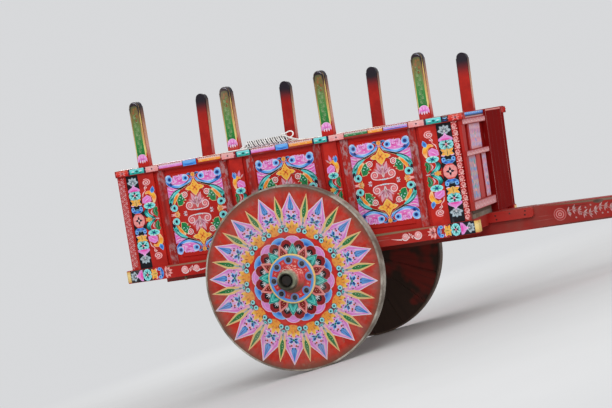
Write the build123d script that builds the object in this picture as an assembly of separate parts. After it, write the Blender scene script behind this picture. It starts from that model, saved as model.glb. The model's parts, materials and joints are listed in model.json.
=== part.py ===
from build123d import *
import os
from math import asin, atan2, cos, degrees, hypot, radians, sin, tan

os.makedirs("parts", exist_ok=True)

# A painted two-wheeled bullock cart: a box body on solid timber wheels, with one long draught pole.
# Every piece is built with the bed level and the axle's centre at the origin: +X to the front, +Y to
# the left, +Z up. The whole cart is then tipped forward until the pole's tip rests on the floor.
# Sizes are in millimetres. "Right" and "left" are the cart's own sides.

# Wheels
wheel_radius = 525.0
tyre_width = 73.0
tyre_thickness = 10.0
wheel_face_y = 647.0
wheel_phase = -9.6
segment_count = 16
segment_kerf = 2.0
segment_inset = 2.0
hub_barrel_radius = 84.0
hub_plate_radius = 139.0
hub_plate_thickness = 12.0
hub_plate_chamfer = 3.0
hub_nose_length = 108.0
hub_nose_root_radius = 80.0
hub_nose_waist_radius = 61.0
hub_sleeve_length = 44.0
hub_sleeve_radius = 54.0
hub_sleeve_chamfer = 4.0
hub_boss_length = 8.0
hub_bolt_circle_radius = 107.0
hub_bolt_count = 8
hub_bolt_head_radius = 14.0
hub_bolt_head_height = 11.0
hub_bolt_phase = 10.0
bushing_wall = 9.0

# Axle and its timber bed
spindle_radius = 27.0
running_clearance = 0.05
axle_bar_side = 60.0
axle_bed_width = 120.0
axle_bed_end_gap = 10.0
spindle_end_recess = 16.0
washer_thickness = 7.0
washer_overlap = 6.0
washer_side_gap = 1.0
washer_room = 5.0
linchpin_radius = 5.0
linchpin_end_gap = 1.0
strap_thickness = 6.0
strap_width = 44.0
strap_rise = 93.0
strap_y = 300.0

# Bed frame and floor
bed_height = 90.0
bottom_rail_height = 75.0
bottom_rail_width = 64.0
bottom_rail_proud = 8.0
bottom_rail_rear_overhang = 40.0
bottom_rail_front_overhang = 14.0
bottom_rail_chamfer = 5.0
cross_beam_height = 65.0
cross_beam_width = 60.0
floor_thickness = 24.0
floor_board_count = 6
floor_board_gap = 3.0

# Box, with its places along X at the deck. Its walls lean outward and all its uprights rake forward
box_rear_x = -1044.0
box_front_x = 1050.0
half_width_at_deck = 480.0
wall_lean = 2.7
wall_rake = 1.5
wall_height = 551.0
wall_thickness = 56.0
rear_stile_width = 53.0
front_stile_width = 30.0
rear_end_board_width = 78.0
front_end_board_width = 86.0
stake_count = 4
outer_post_width = 100.0
inner_post_width = 80.0
stake_width = 70.0
stake_top_width = 62.0
stake_chamfer = 4.0
top_rail_height = 38.0
top_rail_width = 82.0
top_rail_proud = 14.0
top_rail_overhang = 3.0
top_rail_chamfer = 3.0
joint_clearance = 0.3
end_board_thickness = 24.0
end_board_setback = 4.0
panel_thickness = 18.0
panel_setback = 18.0
panel_field_height = 6.0
panel_field_margin = 96.0
panel_field_end_margin = 26.0
batten_width = 44.0
batten_gap = 20.0
batten_thickness = 13.0
batten_chamfer = 3.0

# How far each stake stands over the top rail, from the rear one to the front one
right_stake_lengths = (380.0, 372.0, 365.0, 364.0)
left_stake_lengths = (401.0, 382.0, 372.0, 358.0)

# Front wall, planted over the front ends of the side walls
front_wall_thickness = 27.0
front_rail_proud = 8.0
front_plank_proud = 14.0
front_back_thickness = 12.0
front_plank_edge_y = 25.0
front_post_width = 75.0
front_stick_setback = 6.0
front_inlay_setback = 9.0
front_cap_height = 35.0
front_rail_height = 31.0
front_rail_chamfer = 2.0
front_middle_rail_z = 347.0
front_low_rail_height = 48.0
front_low_gap = 50.0

# Tailboard, set between the side walls
tail_thickness = 27.0
tail_inset = 12.0
tail_stile_width = 70.0
tail_rail_height = 60.0
tail_panel_thickness = 14.0

# Draught pole
pole_depth = 127.0
pole_width = 120.0
pole_tip_depth = 92.0
pole_tip_width = 84.0
pole_tip_x = 3500.0
pole_taper_start_x = 1300.0
pole_tip_drop = 44.0
pole_chamfer = 2.0
pole_tip_chamfer = 14.0
cheek_thickness = 30.0
cheek_height = 56.0
cheek_front_x = 1285.0
yoke_hole_radius = 17.0
yoke_hole_from_tip = 110.0
yoke_peg_radius = 15.0
yoke_peg_from_tip = 330.0
yoke_peg_height = 120.0

# Small turned pegs under the side rails
rail_peg_radius = 8.0
rail_peg_length = 26.0
rail_peg_x = -725.0

# Hank of rope laid on the right top rail
hank_length = 284.0
hank_height = 45.0
hank_width = 50.0
hank_middle_x = -72.0

# Levels and planes that follow from the sizes above
deck_z = bed_height + bottom_rail_height
rake_slope = tan(radians(wall_rake))
rake_stretch = 1 / cos(radians(wall_rake))
trim = wall_thickness
below_deck = -trim
rail_outer_y = half_width_at_deck + bottom_rail_proud
rail_inner_y = rail_outer_y - bottom_rail_width
bottom_rail_x = (box_rear_x - bottom_rail_rear_overhang, box_front_x + bottom_rail_front_overhang)
side_front_x = box_front_x - front_wall_thickness
first_stake_x = box_rear_x + rear_stile_width + rear_end_board_width + outer_post_width / 2
last_stake_x = side_front_x - front_stile_width - front_end_board_width - outer_post_width / 2
stake_pitch = (last_stake_x - first_stake_x) / (stake_count - 1)
stake_x = [first_stake_x + stake_pitch * i for i in range(stake_count)]
post_half = [outer_post_width / 2 if x in (stake_x[0], stake_x[-1]) else inner_post_width / 2 for x in stake_x]
front_foot_x = side_front_x * rake_stretch
tail_foot_x = (box_rear_x + tail_inset) * rake_stretch
top_rail_y = (-top_rail_proud, top_rail_width - top_rail_proud)
tail_inner_x = tail_foot_x + tail_thickness * rake_stretch + floor_thickness * rake_slope
floor_rear_x = tail_inner_x + floor_board_gap
wheel_inner_y = wheel_face_y - tyre_width
hub_inner_y = wheel_inner_y - hub_plate_thickness - hub_boss_length
hub_outer_y = wheel_face_y + hub_plate_thickness
nose_end_y = wheel_face_y + hub_nose_length
waist_y = nose_end_y - hub_sleeve_length
bushing_radius = spindle_radius + running_clearance + bushing_wall
washer_radius = spindle_radius + washer_overlap
mouth_radius = washer_radius + washer_room
spindle_end_y = nose_end_y - spindle_end_recess
washer_y = spindle_end_y - linchpin_radius * 3 - washer_thickness
mouth_floor_y = washer_y - washer_side_gap
axle_bed_end_y = hub_inner_y - axle_bed_end_gap
pole_top_z = deck_z
pole_under_z = pole_top_z - pole_depth
pole_rear_x = box_rear_x + tail_inset
cross_beam_x = [
    box_rear_x + tail_inset + cross_beam_width / 2,
    (box_rear_x + tail_inset) / 3,
    side_front_x / 3,
    side_front_x - cross_beam_width / 2,
]

# The tip's lowest corner, the tip-down angle that brings it to the floor, and the axle's height
tip_low_z = pole_top_z - pole_tip_drop - pole_tip_depth
tip_reach = hypot(pole_tip_x, tip_low_z)
park_angle = degrees(atan2(tip_low_z, pole_tip_x) + asin(wheel_radius / tip_reach))


def block(x, y, z):
    """A box from its low and high values along each axis."""
    size = (x[1] - x[0], y[1] - y[0], z[1] - z[0])
    middle = ((x[0] + x[1]) / 2, (y[0] + y[1]) / 2, (z[0] + z[1]) / 2)
    return Pos(*middle) * Box(*size)


def ring(outer, inner, y):
    """A ring about the axle's line, from one distance out to the other."""
    solid = Cylinder(outer, y[1] - y[0]) - Cylinder(inner, y[1] - y[0] + trim)
    return Pos(0, (y[0] + y[1]) / 2, 0) * Rot(X=90) * solid


def rod_y(radius, y):
    """A round bar along the axle's line."""
    return Pos(0, (y[0] + y[1]) / 2, 0) * Rot(X=90) * Cylinder(radius, y[1] - y[0])


def turned(profile):
    """A solid turned about the axle's line from points of (distance out, radius)."""
    outline = make_face(Polyline(*[(radius, out) for out, radius in profile], close=True))
    return revolve(outline, Axis.Y)


def other_side(solid):
    """The same piece on the other side of the middle plane."""
    return mirror(solid, about=Plane.XZ)


def half_width(z, inward=0.0):
    """Half the box's width at a height over the deck, less a distance in from the walls' outer faces."""
    return half_width_at_deck + z * tan(radians(wall_lean)) - inward / cos(radians(wall_lean))


def between_walls(x, z, inward=0.0):
    """The space between the leaning walls over a stretch of X and a stretch of height over the deck."""
    low, high = half_width(z[0], inward), half_width(z[1], inward)
    outline = Polyline((-low, z[0]), (low, z[0]), (high, z[1]), (-high, z[1]), close=True)
    face = Plane.YZ * make_face(outline)
    return Pos(x[0], 0, 0) * extrude(face, x[1] - x[0], dir=(1, 0, 0))


def over_deck(solid):
    """What is left of a piece over the deck, so that it stands on the rails, the beams and the pole."""
    return split(solid, Plane.XY.offset(deck_z), keep=Keep.TOP)


def leaning(solid):
    """A piece of the right wall, drawn upright with its outer face at y = 0 and the deck at z = 0."""
    return over_deck(Pos(0, -half_width_at_deck, deck_z) * Rot(X=wall_lean) * solid)


def raked(solid):
    """A piece of the wall tipped forward about the deck's edge, as its uprights are."""
    return Rot(Y=wall_rake) * solid


def raked_x(x, z):
    """Where an upright's edge, at x along the deck, is at a height over it."""
    return x * rake_stretch + z * rake_slope


def raked_z(x, z):
    """How far up an upright at x a height over the deck lies."""
    return (z + x * sin(radians(wall_rake))) * rake_stretch


def upright(x, y, bevel=0.0):
    """A raked upright of the wall, from the deck to the top rail."""
    timber = block(x, y, (raked_z(x[0], 0) - trim, raked_z(x[1], wall_height) + trim))
    if bevel:
        timber = chamfer(timber.edges().filter_by(Axis.Z).group_by(Axis.Y)[0], bevel)
    return leaning(split(raked(timber), Plane.XY.offset(wall_height), keep=Keep.BOTTOM))


def right_and_left(name, solids):
    """The same pieces on both walls, as two nodes."""
    return {
        "right_" + name: solids,
        "left_" + name: [other_side(solid) for solid in solids],
    }


# Wheels: timber wedges held by an iron tyre, with plates, bolts and a tapered hub


def wheel_segments():
    """The wedges of one solid wheel, parted by saw cuts."""
    inner = hub_barrel_radius
    outer = wheel_radius - tyre_thickness
    disc = ring(outer, inner, (wheel_inner_y + segment_inset, wheel_face_y - segment_inset))
    step = 360 / segment_count
    cuts = [
        Rot(Y=-(wheel_phase + step * (i + 0.5)))
        * block((0, wheel_radius * 2), (0, wheel_face_y * 2), (-segment_kerf / 2, segment_kerf / 2))
        for i in range(segment_count)
    ]
    return cut_all(disc, cuts)


def cut_all(solid, cuts):
    """The solids left when every cut is taken away."""
    for cut in cuts:
        solid = solid - cut
    return list(solid.solids())


def wheel_tyre():
    """The iron tyre, with its outer edges worn round."""
    tyre = ring(wheel_radius, wheel_radius - tyre_thickness, (wheel_inner_y, wheel_face_y))
    edges = tyre.edges().filter_by(GeomType.CIRCLE).sort_by(SortBy.RADIUS)[-2:]
    return [fillet(edges, tyre_thickness * 0.3)]


def wheel_hub():
    """The turned hub: a barrel through the wheel, a tapered nose outside it and a sleeve at its end."""
    bore = bushing_radius
    profile = [
        (hub_inner_y, bore),
        (hub_inner_y, hub_barrel_radius - hub_boss_length),
        (hub_inner_y + hub_boss_length, hub_barrel_radius),
        (hub_outer_y, hub_barrel_radius),
        (hub_outer_y, hub_nose_root_radius),
        (waist_y, hub_nose_waist_radius),
        (waist_y, hub_sleeve_radius),
        (nose_end_y - hub_sleeve_chamfer, hub_sleeve_radius),
        (nose_end_y, hub_sleeve_radius - hub_sleeve_chamfer),
        (nose_end_y, mouth_radius),
        (mouth_floor_y, mouth_radius),
        (mouth_floor_y, bore),
    ]
    return [turned(profile)]


def wheel_bushing():
    """The iron bushing that turns on the spindle."""
    return [ring(bushing_radius, spindle_radius + running_clearance, (hub_inner_y, mouth_floor_y))]


def wheel_plates():
    """The round plates that clamp the wedges, outside and inside."""
    outside = ring(hub_plate_radius, hub_barrel_radius, (wheel_face_y - segment_inset, hub_outer_y))
    inside = ring(
        hub_plate_radius,
        hub_barrel_radius,
        (wheel_inner_y - hub_plate_thickness, wheel_inner_y + segment_inset),
    )
    rims = outside.edges().filter_by(GeomType.CIRCLE).group_by(Axis.Y)[-1].sort_by(SortBy.RADIUS)[-1:]
    return [chamfer(rims, hub_plate_chamfer), inside]


def wheel_bolts():
    """The domed heads on the outer plate."""
    heads = []
    for i in range(hub_bolt_count):
        angle = radians(wheel_phase + hub_bolt_phase + 360 * i / hub_bolt_count)
        dome_radius = (hub_bolt_head_radius**2 + hub_bolt_head_height**2) / (2 * hub_bolt_head_height)
        dome = Sphere(dome_radius) & Pos(0, 0, dome_radius) * Box(
            4 * dome_radius, 4 * dome_radius, 2 * hub_bolt_head_height
        )
        dome = Pos(0, 0, hub_bolt_head_height - dome_radius) * dome
        heads.append(
            Pos(
                hub_bolt_circle_radius * cos(angle),
                hub_outer_y,
                hub_bolt_circle_radius * sin(angle),
            )
            * Rot(X=-90)
            * dome
        )
    return heads


def wheel_nodes():
    """Every node of both wheels. The left wheel is drawn, and the right one is its mirror."""
    pieces = {
        "wheel_segments": wheel_segments(),
        "tyre": wheel_tyre(),
        "hub": wheel_hub(),
        "hub_bushing": wheel_bushing(),
        "hub_plates": wheel_plates(),
        "hub_bolts": wheel_bolts(),
    }
    nodes = {}
    for name, solids in pieces.items():
        nodes["left_" + name] = solids
        nodes["right_" + name] = [other_side(solid) for solid in solids]
    return nodes


# Axle: an iron bar with round spindles, let into a timber bed


def axle_bar():
    """The square bar and the two spindles, as one forging."""
    half = axle_bar_side / 2
    bar = block((-half, half), (-axle_bed_end_y, axle_bed_end_y), (-half, half))
    return [bar + rod_y(spindle_radius, (-spindle_end_y, spindle_end_y)) - linchpin_holes()]


def linchpin_holes():
    """The cross holes near the spindles' ends."""
    hole = Cylinder(linchpin_radius + joint_clearance, 4 * spindle_radius)
    out = washer_y + washer_thickness + linchpin_radius + joint_clearance
    return Pos(0, out, 0) * hole + Pos(0, -out, 0) * hole


def axle_retainers():
    """The washers and linchpins that keep the wheels on, in the mouths of the hubs."""
    washer = ring(washer_radius, spindle_radius, (washer_y, washer_y + washer_thickness))
    out = washer_y + washer_thickness + linchpin_radius + joint_clearance
    pin = Pos(0, out, 0) * Cylinder(linchpin_radius, 2 * (washer_radius - linchpin_end_gap))
    return [washer, pin, other_side(washer), other_side(pin)]


def axle_bed():
    """The timber over the axle, slotted for the bar below and notched for the pole above."""
    half = axle_bed_width / 2
    bar = axle_bar_side / 2
    timber = block((-half, half), (-axle_bed_end_y, axle_bed_end_y), (-bar, bed_height))
    slot = block((-bar, bar), (-axle_bed_end_y - trim, axle_bed_end_y + trim), (-bar - trim, bar))
    notch = block((-half - trim, half + trim), (-pole_width / 2, pole_width / 2), (pole_under_z, deck_z))
    return [timber - slot - notch]


def axle_straps():
    """The iron straps under the bar, nailed up the sides of the bed."""
    half = axle_bed_width / 2
    bar = axle_bar_side / 2
    top = strap_rise - bar
    straps = []
    for y in (-strap_y, strap_y):
        side = (y - strap_width / 2, y + strap_width / 2)
        outer = block((-half - strap_thickness, half + strap_thickness), side, (-bar - strap_thickness, top))
        inner = block((-half, half), (side[0] - trim, side[1] + trim), (-bar, top + trim))
        straps.append(outer - inner)
    return straps


# Pole and bed frame


def pole():
    """The draught pole: straight under the bed, then tapering, with its edges eased towards the tip."""
    half = pole_width / 2
    straight = block((pole_rear_x, pole_taper_start_x), (-half, half), (pole_under_z, pole_top_z))
    sections = [
        # x, width, bottom, top, bevel of the edges
        (pole_taper_start_x, pole_width, pole_under_z, pole_top_z, pole_chamfer),
        (pole_tip_x, pole_tip_width, tip_low_z, pole_top_z - pole_tip_drop, pole_tip_chamfer),
    ]
    tapered = loft([pole_section(*section) for section in sections], ruled=True)
    corners = tapered.faces().sort_by(Axis.X)[-1].edges().filter_by(Axis.Z)
    body = straight + chamfer(corners, pole_tip_width * 0.25)
    through = 4 * pole_depth
    hole = Pos(pole_tip_x - yoke_hole_from_tip, 0, 0) * Cylinder(yoke_hole_radius, through)
    peg_hole = Pos(pole_tip_x - yoke_peg_from_tip, 0, 0) * Cylinder(yoke_peg_radius, through)
    body = body - hole - peg_hole
    for notch in cross_beam_blocks(joint_clearance):
        body = body - notch
    return [body]


def pole_section(x, width, low, high, bevel):
    """The pole's outline at x, with its four corners bevelled."""
    plane = Plane(origin=(x, 0, (low + high) / 2), x_dir=(0, 1, 0), z_dir=(1, 0, 0))
    outline = Rectangle(width, high - low)
    return plane * chamfer(outline.vertices(), bevel)


def yoke_peg():
    """The wooden peg that the yoke's rope loops round."""
    x = pole_tip_x - yoke_peg_from_tip
    share = (x - pole_taper_start_x) / (pole_tip_x - pole_taper_start_x)
    top = pole_top_z - pole_tip_drop * share
    low = pole_under_z + (tip_low_z - pole_under_z) * share
    peg = Pos(x, 0, (low + top + yoke_peg_height) / 2) * Cylinder(
        yoke_peg_radius, top + yoke_peg_height - low
    )
    return [chamfer(peg.edges().filter_by(GeomType.CIRCLE).sort_by(Axis.Z)[-1], yoke_peg_radius * 0.3)]


def cross_beam_blocks(clearance):
    """The cross beams, or the room that they take in the pole."""
    half = cross_beam_width / 2 + clearance
    ends = rail_inner_y
    return [
        block((x - half, x + half), (-ends, ends), (deck_z - cross_beam_height - clearance, deck_z))
        for x in cross_beam_x
    ]


def pole_cheeks():
    """The short planks nailed to both flanks of the pole ahead of the box."""
    half = pole_width / 2
    rear = cross_beam_x[-1] + cross_beam_width / 2
    cheek = block((rear, cheek_front_x), (half, half + cheek_thickness), (deck_z - cheek_height, deck_z))
    corner = cheek.edges().filter_by(Axis.Y).sort_by(Axis.X)[-2:]
    cheek = chamfer(corner, cheek_thickness * 0.4)
    return [cheek, other_side(cheek)]


def bottom_rails():
    """The two long beams under the walls."""
    rail = block(bottom_rail_x, (-rail_outer_y, -rail_inner_y), (bed_height, deck_z))
    ends = rail.faces().sort_by(Axis.X)
    return [chamfer(ends[0].edges() + ends[-1].edges(), bottom_rail_chamfer)]


def rail_pegs():
    """The pegs that stick out under the bottom rails."""
    y = -(rail_outer_y + rail_inner_y) / 2
    z = bed_height - rail_peg_length / 2
    peg = Pos(rail_peg_x, y, z) * Cylinder(rail_peg_radius, rail_peg_length)
    return [peg, other_side(peg)]


def floor_boards():
    """The long boards of the floor, with open joints, from the tailboard to the front wall."""
    x = (floor_rear_x, front_foot_x)
    full = between_walls(x, (0, floor_thickness), wall_thickness + joint_clearance)
    span = 2 * half_width(0, wall_thickness)
    pitch = span / floor_board_count
    cuts = []
    for i in range(1, floor_board_count):
        y = -span / 2 + pitch * i
        gap = (y - floor_board_gap / 2, y + floor_board_gap / 2)
        cuts.append(block((x[0] - trim, x[1] + trim), gap, (-trim, floor_thickness + trim)))
    return [Pos(0, 0, deck_z) * board for board in cut_all(full, cuts)]


# Side walls, drawn upright for the right side


def stakes(lengths):
    """The posts of the wall, each running up through the top rail as a round-topped stake."""
    solids = []
    for x, half, length in zip(stake_x, post_half, lengths):
        foot = raked_z(x, 0)
        top = raked_z(x, wall_height + top_rail_height)
        post = block((x - half, x + half), (0, wall_thickness), (foot - trim, top + trim))
        post = split(raked(post), Plane.XY.offset(wall_height), keep=Keep.BOTTOM)
        solids.append(leaning(post + raked(stake(x, foot, top, top + length))))
    return solids


def stake(x, foot, base, top):
    """One stake from its foot in the post: parallel up to its base, then tapering to a round top."""
    wide, narrow = stake_width / 2, stake_top_width / 2
    shoulder = top - narrow
    outline = [
        Line((x + wide, foot), (x + wide, base)),
        Line((x + wide, base), (x + narrow, shoulder)),
        ThreePointArc((x + narrow, shoulder), (x, top), (x - narrow, shoulder)),
        Line((x - narrow, shoulder), (x - wide, base)),
        Line((x - wide, base), (x - wide, foot)),
        Line((x - wide, foot), (x + wide, foot)),
    ]
    face = Plane.XZ * make_face(outline)
    body = extrude(face, wall_thickness, dir=(0, 1, 0))
    over_rail = [edge for edge in body.edges() if edge.center().Z > base and not is_across(edge)]
    return chamfer(over_rail, stake_chamfer)


def is_across(edge):
    """Whether an edge runs through the wall's thickness."""
    return edge.geom_type == GeomType.LINE and abs(edge.tangent_at(0).Y) > 0.5


def top_rail():
    """The rail along the top of the wall, mortised for the stakes, over the front wall's corner."""
    middle = wall_height + top_rail_height / 2
    rear = raked_x(box_rear_x, middle) - top_rail_overhang
    front = raked_x(box_front_x + front_rail_proud, middle) + top_rail_overhang
    timber = block((rear, front), top_rail_y, (wall_height, wall_height + top_rail_height))
    rail = chamfer(timber.edges().filter_by(Axis.X), top_rail_chamfer)
    half = stake_width / 2 + joint_clearance
    depth = (-joint_clearance, wall_thickness + joint_clearance)
    for x in stake_x:
        height = (raked_z(x, wall_height) - trim, raked_z(x, wall_height + top_rail_height) + trim)
        rail = rail - raked(block((x - half, x + half), depth, height))
    return [leaning(rail)]


def end_stiles():
    """The upright at each end of the wall. The front one ends at the front wall's back."""
    depth = (0, wall_thickness)
    rear = upright((box_rear_x, box_rear_x + rear_stile_width), depth)
    front = upright((side_front_x - front_stile_width, side_front_x + trim), depth)
    back = Plane(origin=(front_foot_x, 0, deck_z), z_dir=(1, 0, -rake_slope))
    return [rear, split(front, back, keep=Keep.BOTTOM)]


def end_boards():
    """The boards between the end stiles and the outer posts."""
    depth = (end_board_setback, end_board_setback + end_board_thickness)
    spans = [
        (box_rear_x + rear_stile_width, stake_x[0] - post_half[0]),
        (stake_x[-1] + post_half[-1], side_front_x - front_stile_width),
    ]
    return [upright(x, depth) for x in spans]


def bays():
    """The clear stretches between neighbouring posts."""
    rears = [x + half for x, half in zip(stake_x, post_half)]
    fronts = [x - half for x, half in zip(stake_x, post_half)]
    return list(zip(rears, fronts[1:]))


def panels():
    """The set-back panels, each with a raised field that has sloping edges."""
    solids = []
    for low, high in bays():
        board = upright((low, high), (panel_setback, panel_setback + panel_thickness))
        middle_x = (low + high) / 2
        middle_z = raked_z(middle_x, wall_height / 2)
        wide = high - low - 2 * panel_field_margin
        tall = wall_height - 2 * panel_field_end_margin
        base = Plane(origin=(middle_x, panel_setback, middle_z), x_dir=(1, 0, 0), z_dir=(0, -1, 0))
        slope = 2 * panel_field_height
        field = loft(
            [
                base * Rectangle(wide, tall),
                base.offset(panel_field_height) * Rectangle(wide - slope, tall - slope),
            ]
        )
        solids.append(board + leaning(raked(field)))
    return solids


def battens():
    """The flat strips down both edges of each panel."""
    depth = (panel_setback - batten_thickness, panel_setback)
    solids = []
    for low, high in bays():
        first = (low + batten_gap, low + batten_gap + batten_width)
        last = (high - batten_gap - batten_width, high - batten_gap)
        solids += [upright(x, depth, batten_chamfer) for x in (first, last)]
    return solids


# Front wall, drawn with its back face at x = 0 and the deck at z = 0, then tipped forward with the uprights


def fronted(solid):
    """A piece of the front wall in its place, cut back where the top rails run over it."""
    placed = over_deck(Pos(front_foot_x, 0, deck_z) * Rot(Y=wall_rake) * solid)
    x = (side_front_x - trim, raked_x(box_front_x, wall_height) + trim)
    y = (top_rail_y[0] - joint_clearance, top_rail_y[1] + joint_clearance)
    room = leaning(block(x, y, (wall_height - joint_clearance, front_top + trim)))
    return placed - room - other_side(room)


def front_piece(y, z, x):
    """A piece of the front wall, trimmed to the box's leaning outline."""
    reach = half_width(z[1]) + trim
    span = (max(y[0], -reach), min(y[1], reach))
    return fronted(block(x, span, z) & between_walls(x, z))


def front_depth(proud=0.0):
    """The X range of a piece of the front wall with its face so far proud, over the backing board."""
    return (front_back_thickness, front_wall_thickness + proud)


front_top = wall_height + top_rail_height
front_upper_rail_top = front_top - front_cap_height
front_rail_levels = [
    # bottom, top
    (front_low_gap, front_low_gap + front_low_rail_height),
    (front_middle_rail_z, front_middle_rail_z + front_rail_height),
    (front_upper_rail_top - front_rail_height, front_upper_rail_top),
]
front_runs = [
    # What fills each window from the right corner to the plank: kind and width. None takes what is left
    [("upright", 50), ("inlay", None), ("stick", 97), ("gap", 46), ("inlay", 100), ("gap", 37)],
    [("upright", 70), ("gap", 75), ("stick", 38), ("inlay", None), ("gap", 86)],
]
front_wide = half_width(front_top) + trim
front_post_edge_y = half_width_at_deck - front_post_width


def front_rails():
    """The three rails of the open-work half."""
    rails = []
    for level in front_rail_levels:
        x = front_depth(front_rail_proud)
        timber = block(x, (-front_wide, front_plank_edge_y), level)
        timber = chamfer(timber.edges().filter_by(Axis.Y).group_by(Axis.X)[-1], front_rail_chamfer)
        rails.append(fronted(timber & between_walls(x, level)))
    return rails


def front_cap():
    """The strip over the upper rail."""
    return [front_piece((-front_wide, front_plank_edge_y), (front_upper_rail_top, front_top), front_depth())]


def front_window_pieces(kind, setback):
    """The upright pieces of one kind in both windows of the open-work half."""
    pieces = []
    for below, above, run in zip(front_rail_levels, front_rail_levels[1:], front_runs):
        height = (below[1], above[0])
        corner = -half_width(sum(height) / 2)
        spare = front_plank_edge_y - corner - sum(width for _, width in run if width)
        edge = corner
        for piece_kind, width in run:
            near = edge + (width or spare)
            if piece_kind == kind:
                outer = -front_wide if edge == corner else edge
                pieces.append(front_piece((outer, near), height, front_depth(-setback)))
            edge = near
    return pieces


def front_sticks():
    """The uprights and sticks between the rails."""
    return front_window_pieces("upright", 0.0) + front_window_pieces("stick", front_stick_setback)


def front_inlays():
    """The painted boards between the sticks."""
    return front_window_pieces("inlay", front_inlay_setback)


def front_back():
    """The board behind the rails and sticks."""
    height = (front_low_gap, front_top)
    return [front_piece((-front_wide, front_plank_edge_y), height, (0, front_back_thickness))]


def front_plank():
    """The plain plank of the left half, standing on the pole."""
    x = (0, front_wall_thickness + front_plank_proud)
    return [front_piece((front_plank_edge_y, front_post_edge_y), (below_deck, front_top), x)]


def front_post():
    """The plain post at the left corner."""
    x = (0, front_wall_thickness + front_plank_proud / 2)
    return [front_piece((front_post_edge_y, front_wide), (below_deck, front_top), x)]


# Tailboard


def tail_piece(y, z, x):
    """A piece of the tailboard, drawn like the front wall's and trimmed between the side walls."""
    inward = wall_thickness + joint_clearance
    shape = block(x, y, z) & between_walls(x, z, inward)
    return over_deck(Pos(tail_foot_x, 0, deck_z) * Rot(Y=wall_rake) * shape)


tail_x = (0.0, tail_thickness)
tail_height = wall_height
tail_wide = half_width(wall_height)
tail_levels = [
    # bottom, top
    (below_deck, tail_rail_height),
    ((tail_height - tail_rail_height) / 2, (tail_height + tail_rail_height) / 2),
    (tail_height - tail_rail_height, tail_height),
]


def tail_stile_edge():
    """How far from the middle plane the tailboard's stiles start."""
    return half_width(0, wall_thickness) - tail_stile_width


def tail_stiles():
    """The uprights of the tailboard: one at each wall and one in the middle."""
    edge = tail_stile_edge()
    half = tail_stile_width / 2
    spans = [(-tail_wide, -edge), (-half, half), (edge, tail_wide)]
    return [tail_piece(y, (below_deck, tail_height), tail_x) for y in spans]


def tail_rails():
    """The short rails between the uprights."""
    edge = tail_stile_edge()
    half = tail_stile_width / 2
    spans = [(-edge, -half), (half, edge)]
    return [tail_piece(y, z, tail_x) for y in spans for z in tail_levels]


def tail_panels():
    """The thin boards inside the tailboard's frame."""
    edge = tail_stile_edge()
    half = tail_stile_width / 2
    middle = sum(tail_x) / 2
    x = (middle - tail_panel_thickness / 2, middle + tail_panel_thickness / 2)
    spans = [(-edge, -half), (half, edge)]
    return [
        tail_piece(y, (below[1], above[0]), x)
        for y in spans
        for below, above in zip(tail_levels, tail_levels[1:])
    ]


# Rope


def rope_hank():
    """The outer shape of the hank that lies on the right top rail."""
    section = Plane.YZ * Ellipse(hank_width / 2, hank_height / 2)
    hank = Pos(0, 0, hank_height / 2) * extrude(section, hank_length / 2, both=True)
    hank = fillet(hank.edges().filter_by(GeomType.ELLIPSE), hank_height * 0.3)
    seat = wall_height + top_rail_height + joint_clearance
    y = top_rail_width / 2 - top_rail_proud
    return [leaning(Pos(hank_middle_x, y, seat) * hank)]


def all_nodes():
    """Every node of the cart by name, with the bed level."""
    nodes = {
        "axle_bar": axle_bar(),
        "axle_retainers": axle_retainers(),
        "axle_bed": axle_bed(),
        "axle_straps": axle_straps(),
        "pole": pole(),
        "yoke_peg": yoke_peg(),
        "pole_cheeks": pole_cheeks(),
        "cross_beams": cross_beam_blocks(0.0),
        "rail_pegs": rail_pegs(),
        "floor_boards": floor_boards(),
        "front_rails": front_rails(),
        "front_cap": front_cap(),
        "front_sticks": front_sticks(),
        "front_inlays": front_inlays(),
        "front_back": front_back(),
        "front_plank": front_plank(),
        "front_post": front_post(),
        "tail_stiles": tail_stiles(),
        "tail_rails": tail_rails(),
        "tail_panels": tail_panels(),
        "rope_hank": rope_hank(),
    }
    nodes |= right_and_left("bottom_rail", bottom_rails())
    nodes |= right_and_left("top_rail", top_rail())
    nodes["right_stakes"] = stakes(right_stake_lengths)
    nodes["left_stakes"] = [other_side(solid) for solid in stakes(left_stake_lengths)]
    nodes |= right_and_left("end_stiles", end_stiles())
    nodes |= right_and_left("end_boards", end_boards())
    nodes |= right_and_left("panels", panels())
    nodes |= right_and_left("battens", battens())
    nodes |= wheel_nodes()
    return nodes


def parked(nodes):
    """The cart tipped onto its pole and moved so that its box's base is centred on the origin."""
    tip = Pos(0, 0, wheel_radius) * Rot(Y=park_angle)
    moved = {name: [tip * solid for solid in solids] for name, solids in nodes.items()}
    whole = Compound([solid for solids in moved.values() for solid in solids]).bounding_box()
    shift = Pos(-(whole.min.X + whole.max.X) / 2, -(whole.min.Y + whole.max.Y) / 2, -whole.min.Z)
    print("park angle", round(park_angle, 3), "axle at", -(whole.min.X + whole.max.X) / 2)
    return {name: [shift * solid for solid in solids] for name, solids in moved.items()}


for name, solids in parked(all_nodes()).items():
    single = [piece for solid in solids for piece in solid.solids()]
    export_step(single[0] if len(single) == 1 else Compound(single), f"parts/{name}.step")
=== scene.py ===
import json
from math import asin, atan2, cos, degrees, hypot, log, pi, radians, sin, tan

import bmesh
import bpy
from mathutils import Matrix, Vector


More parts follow.
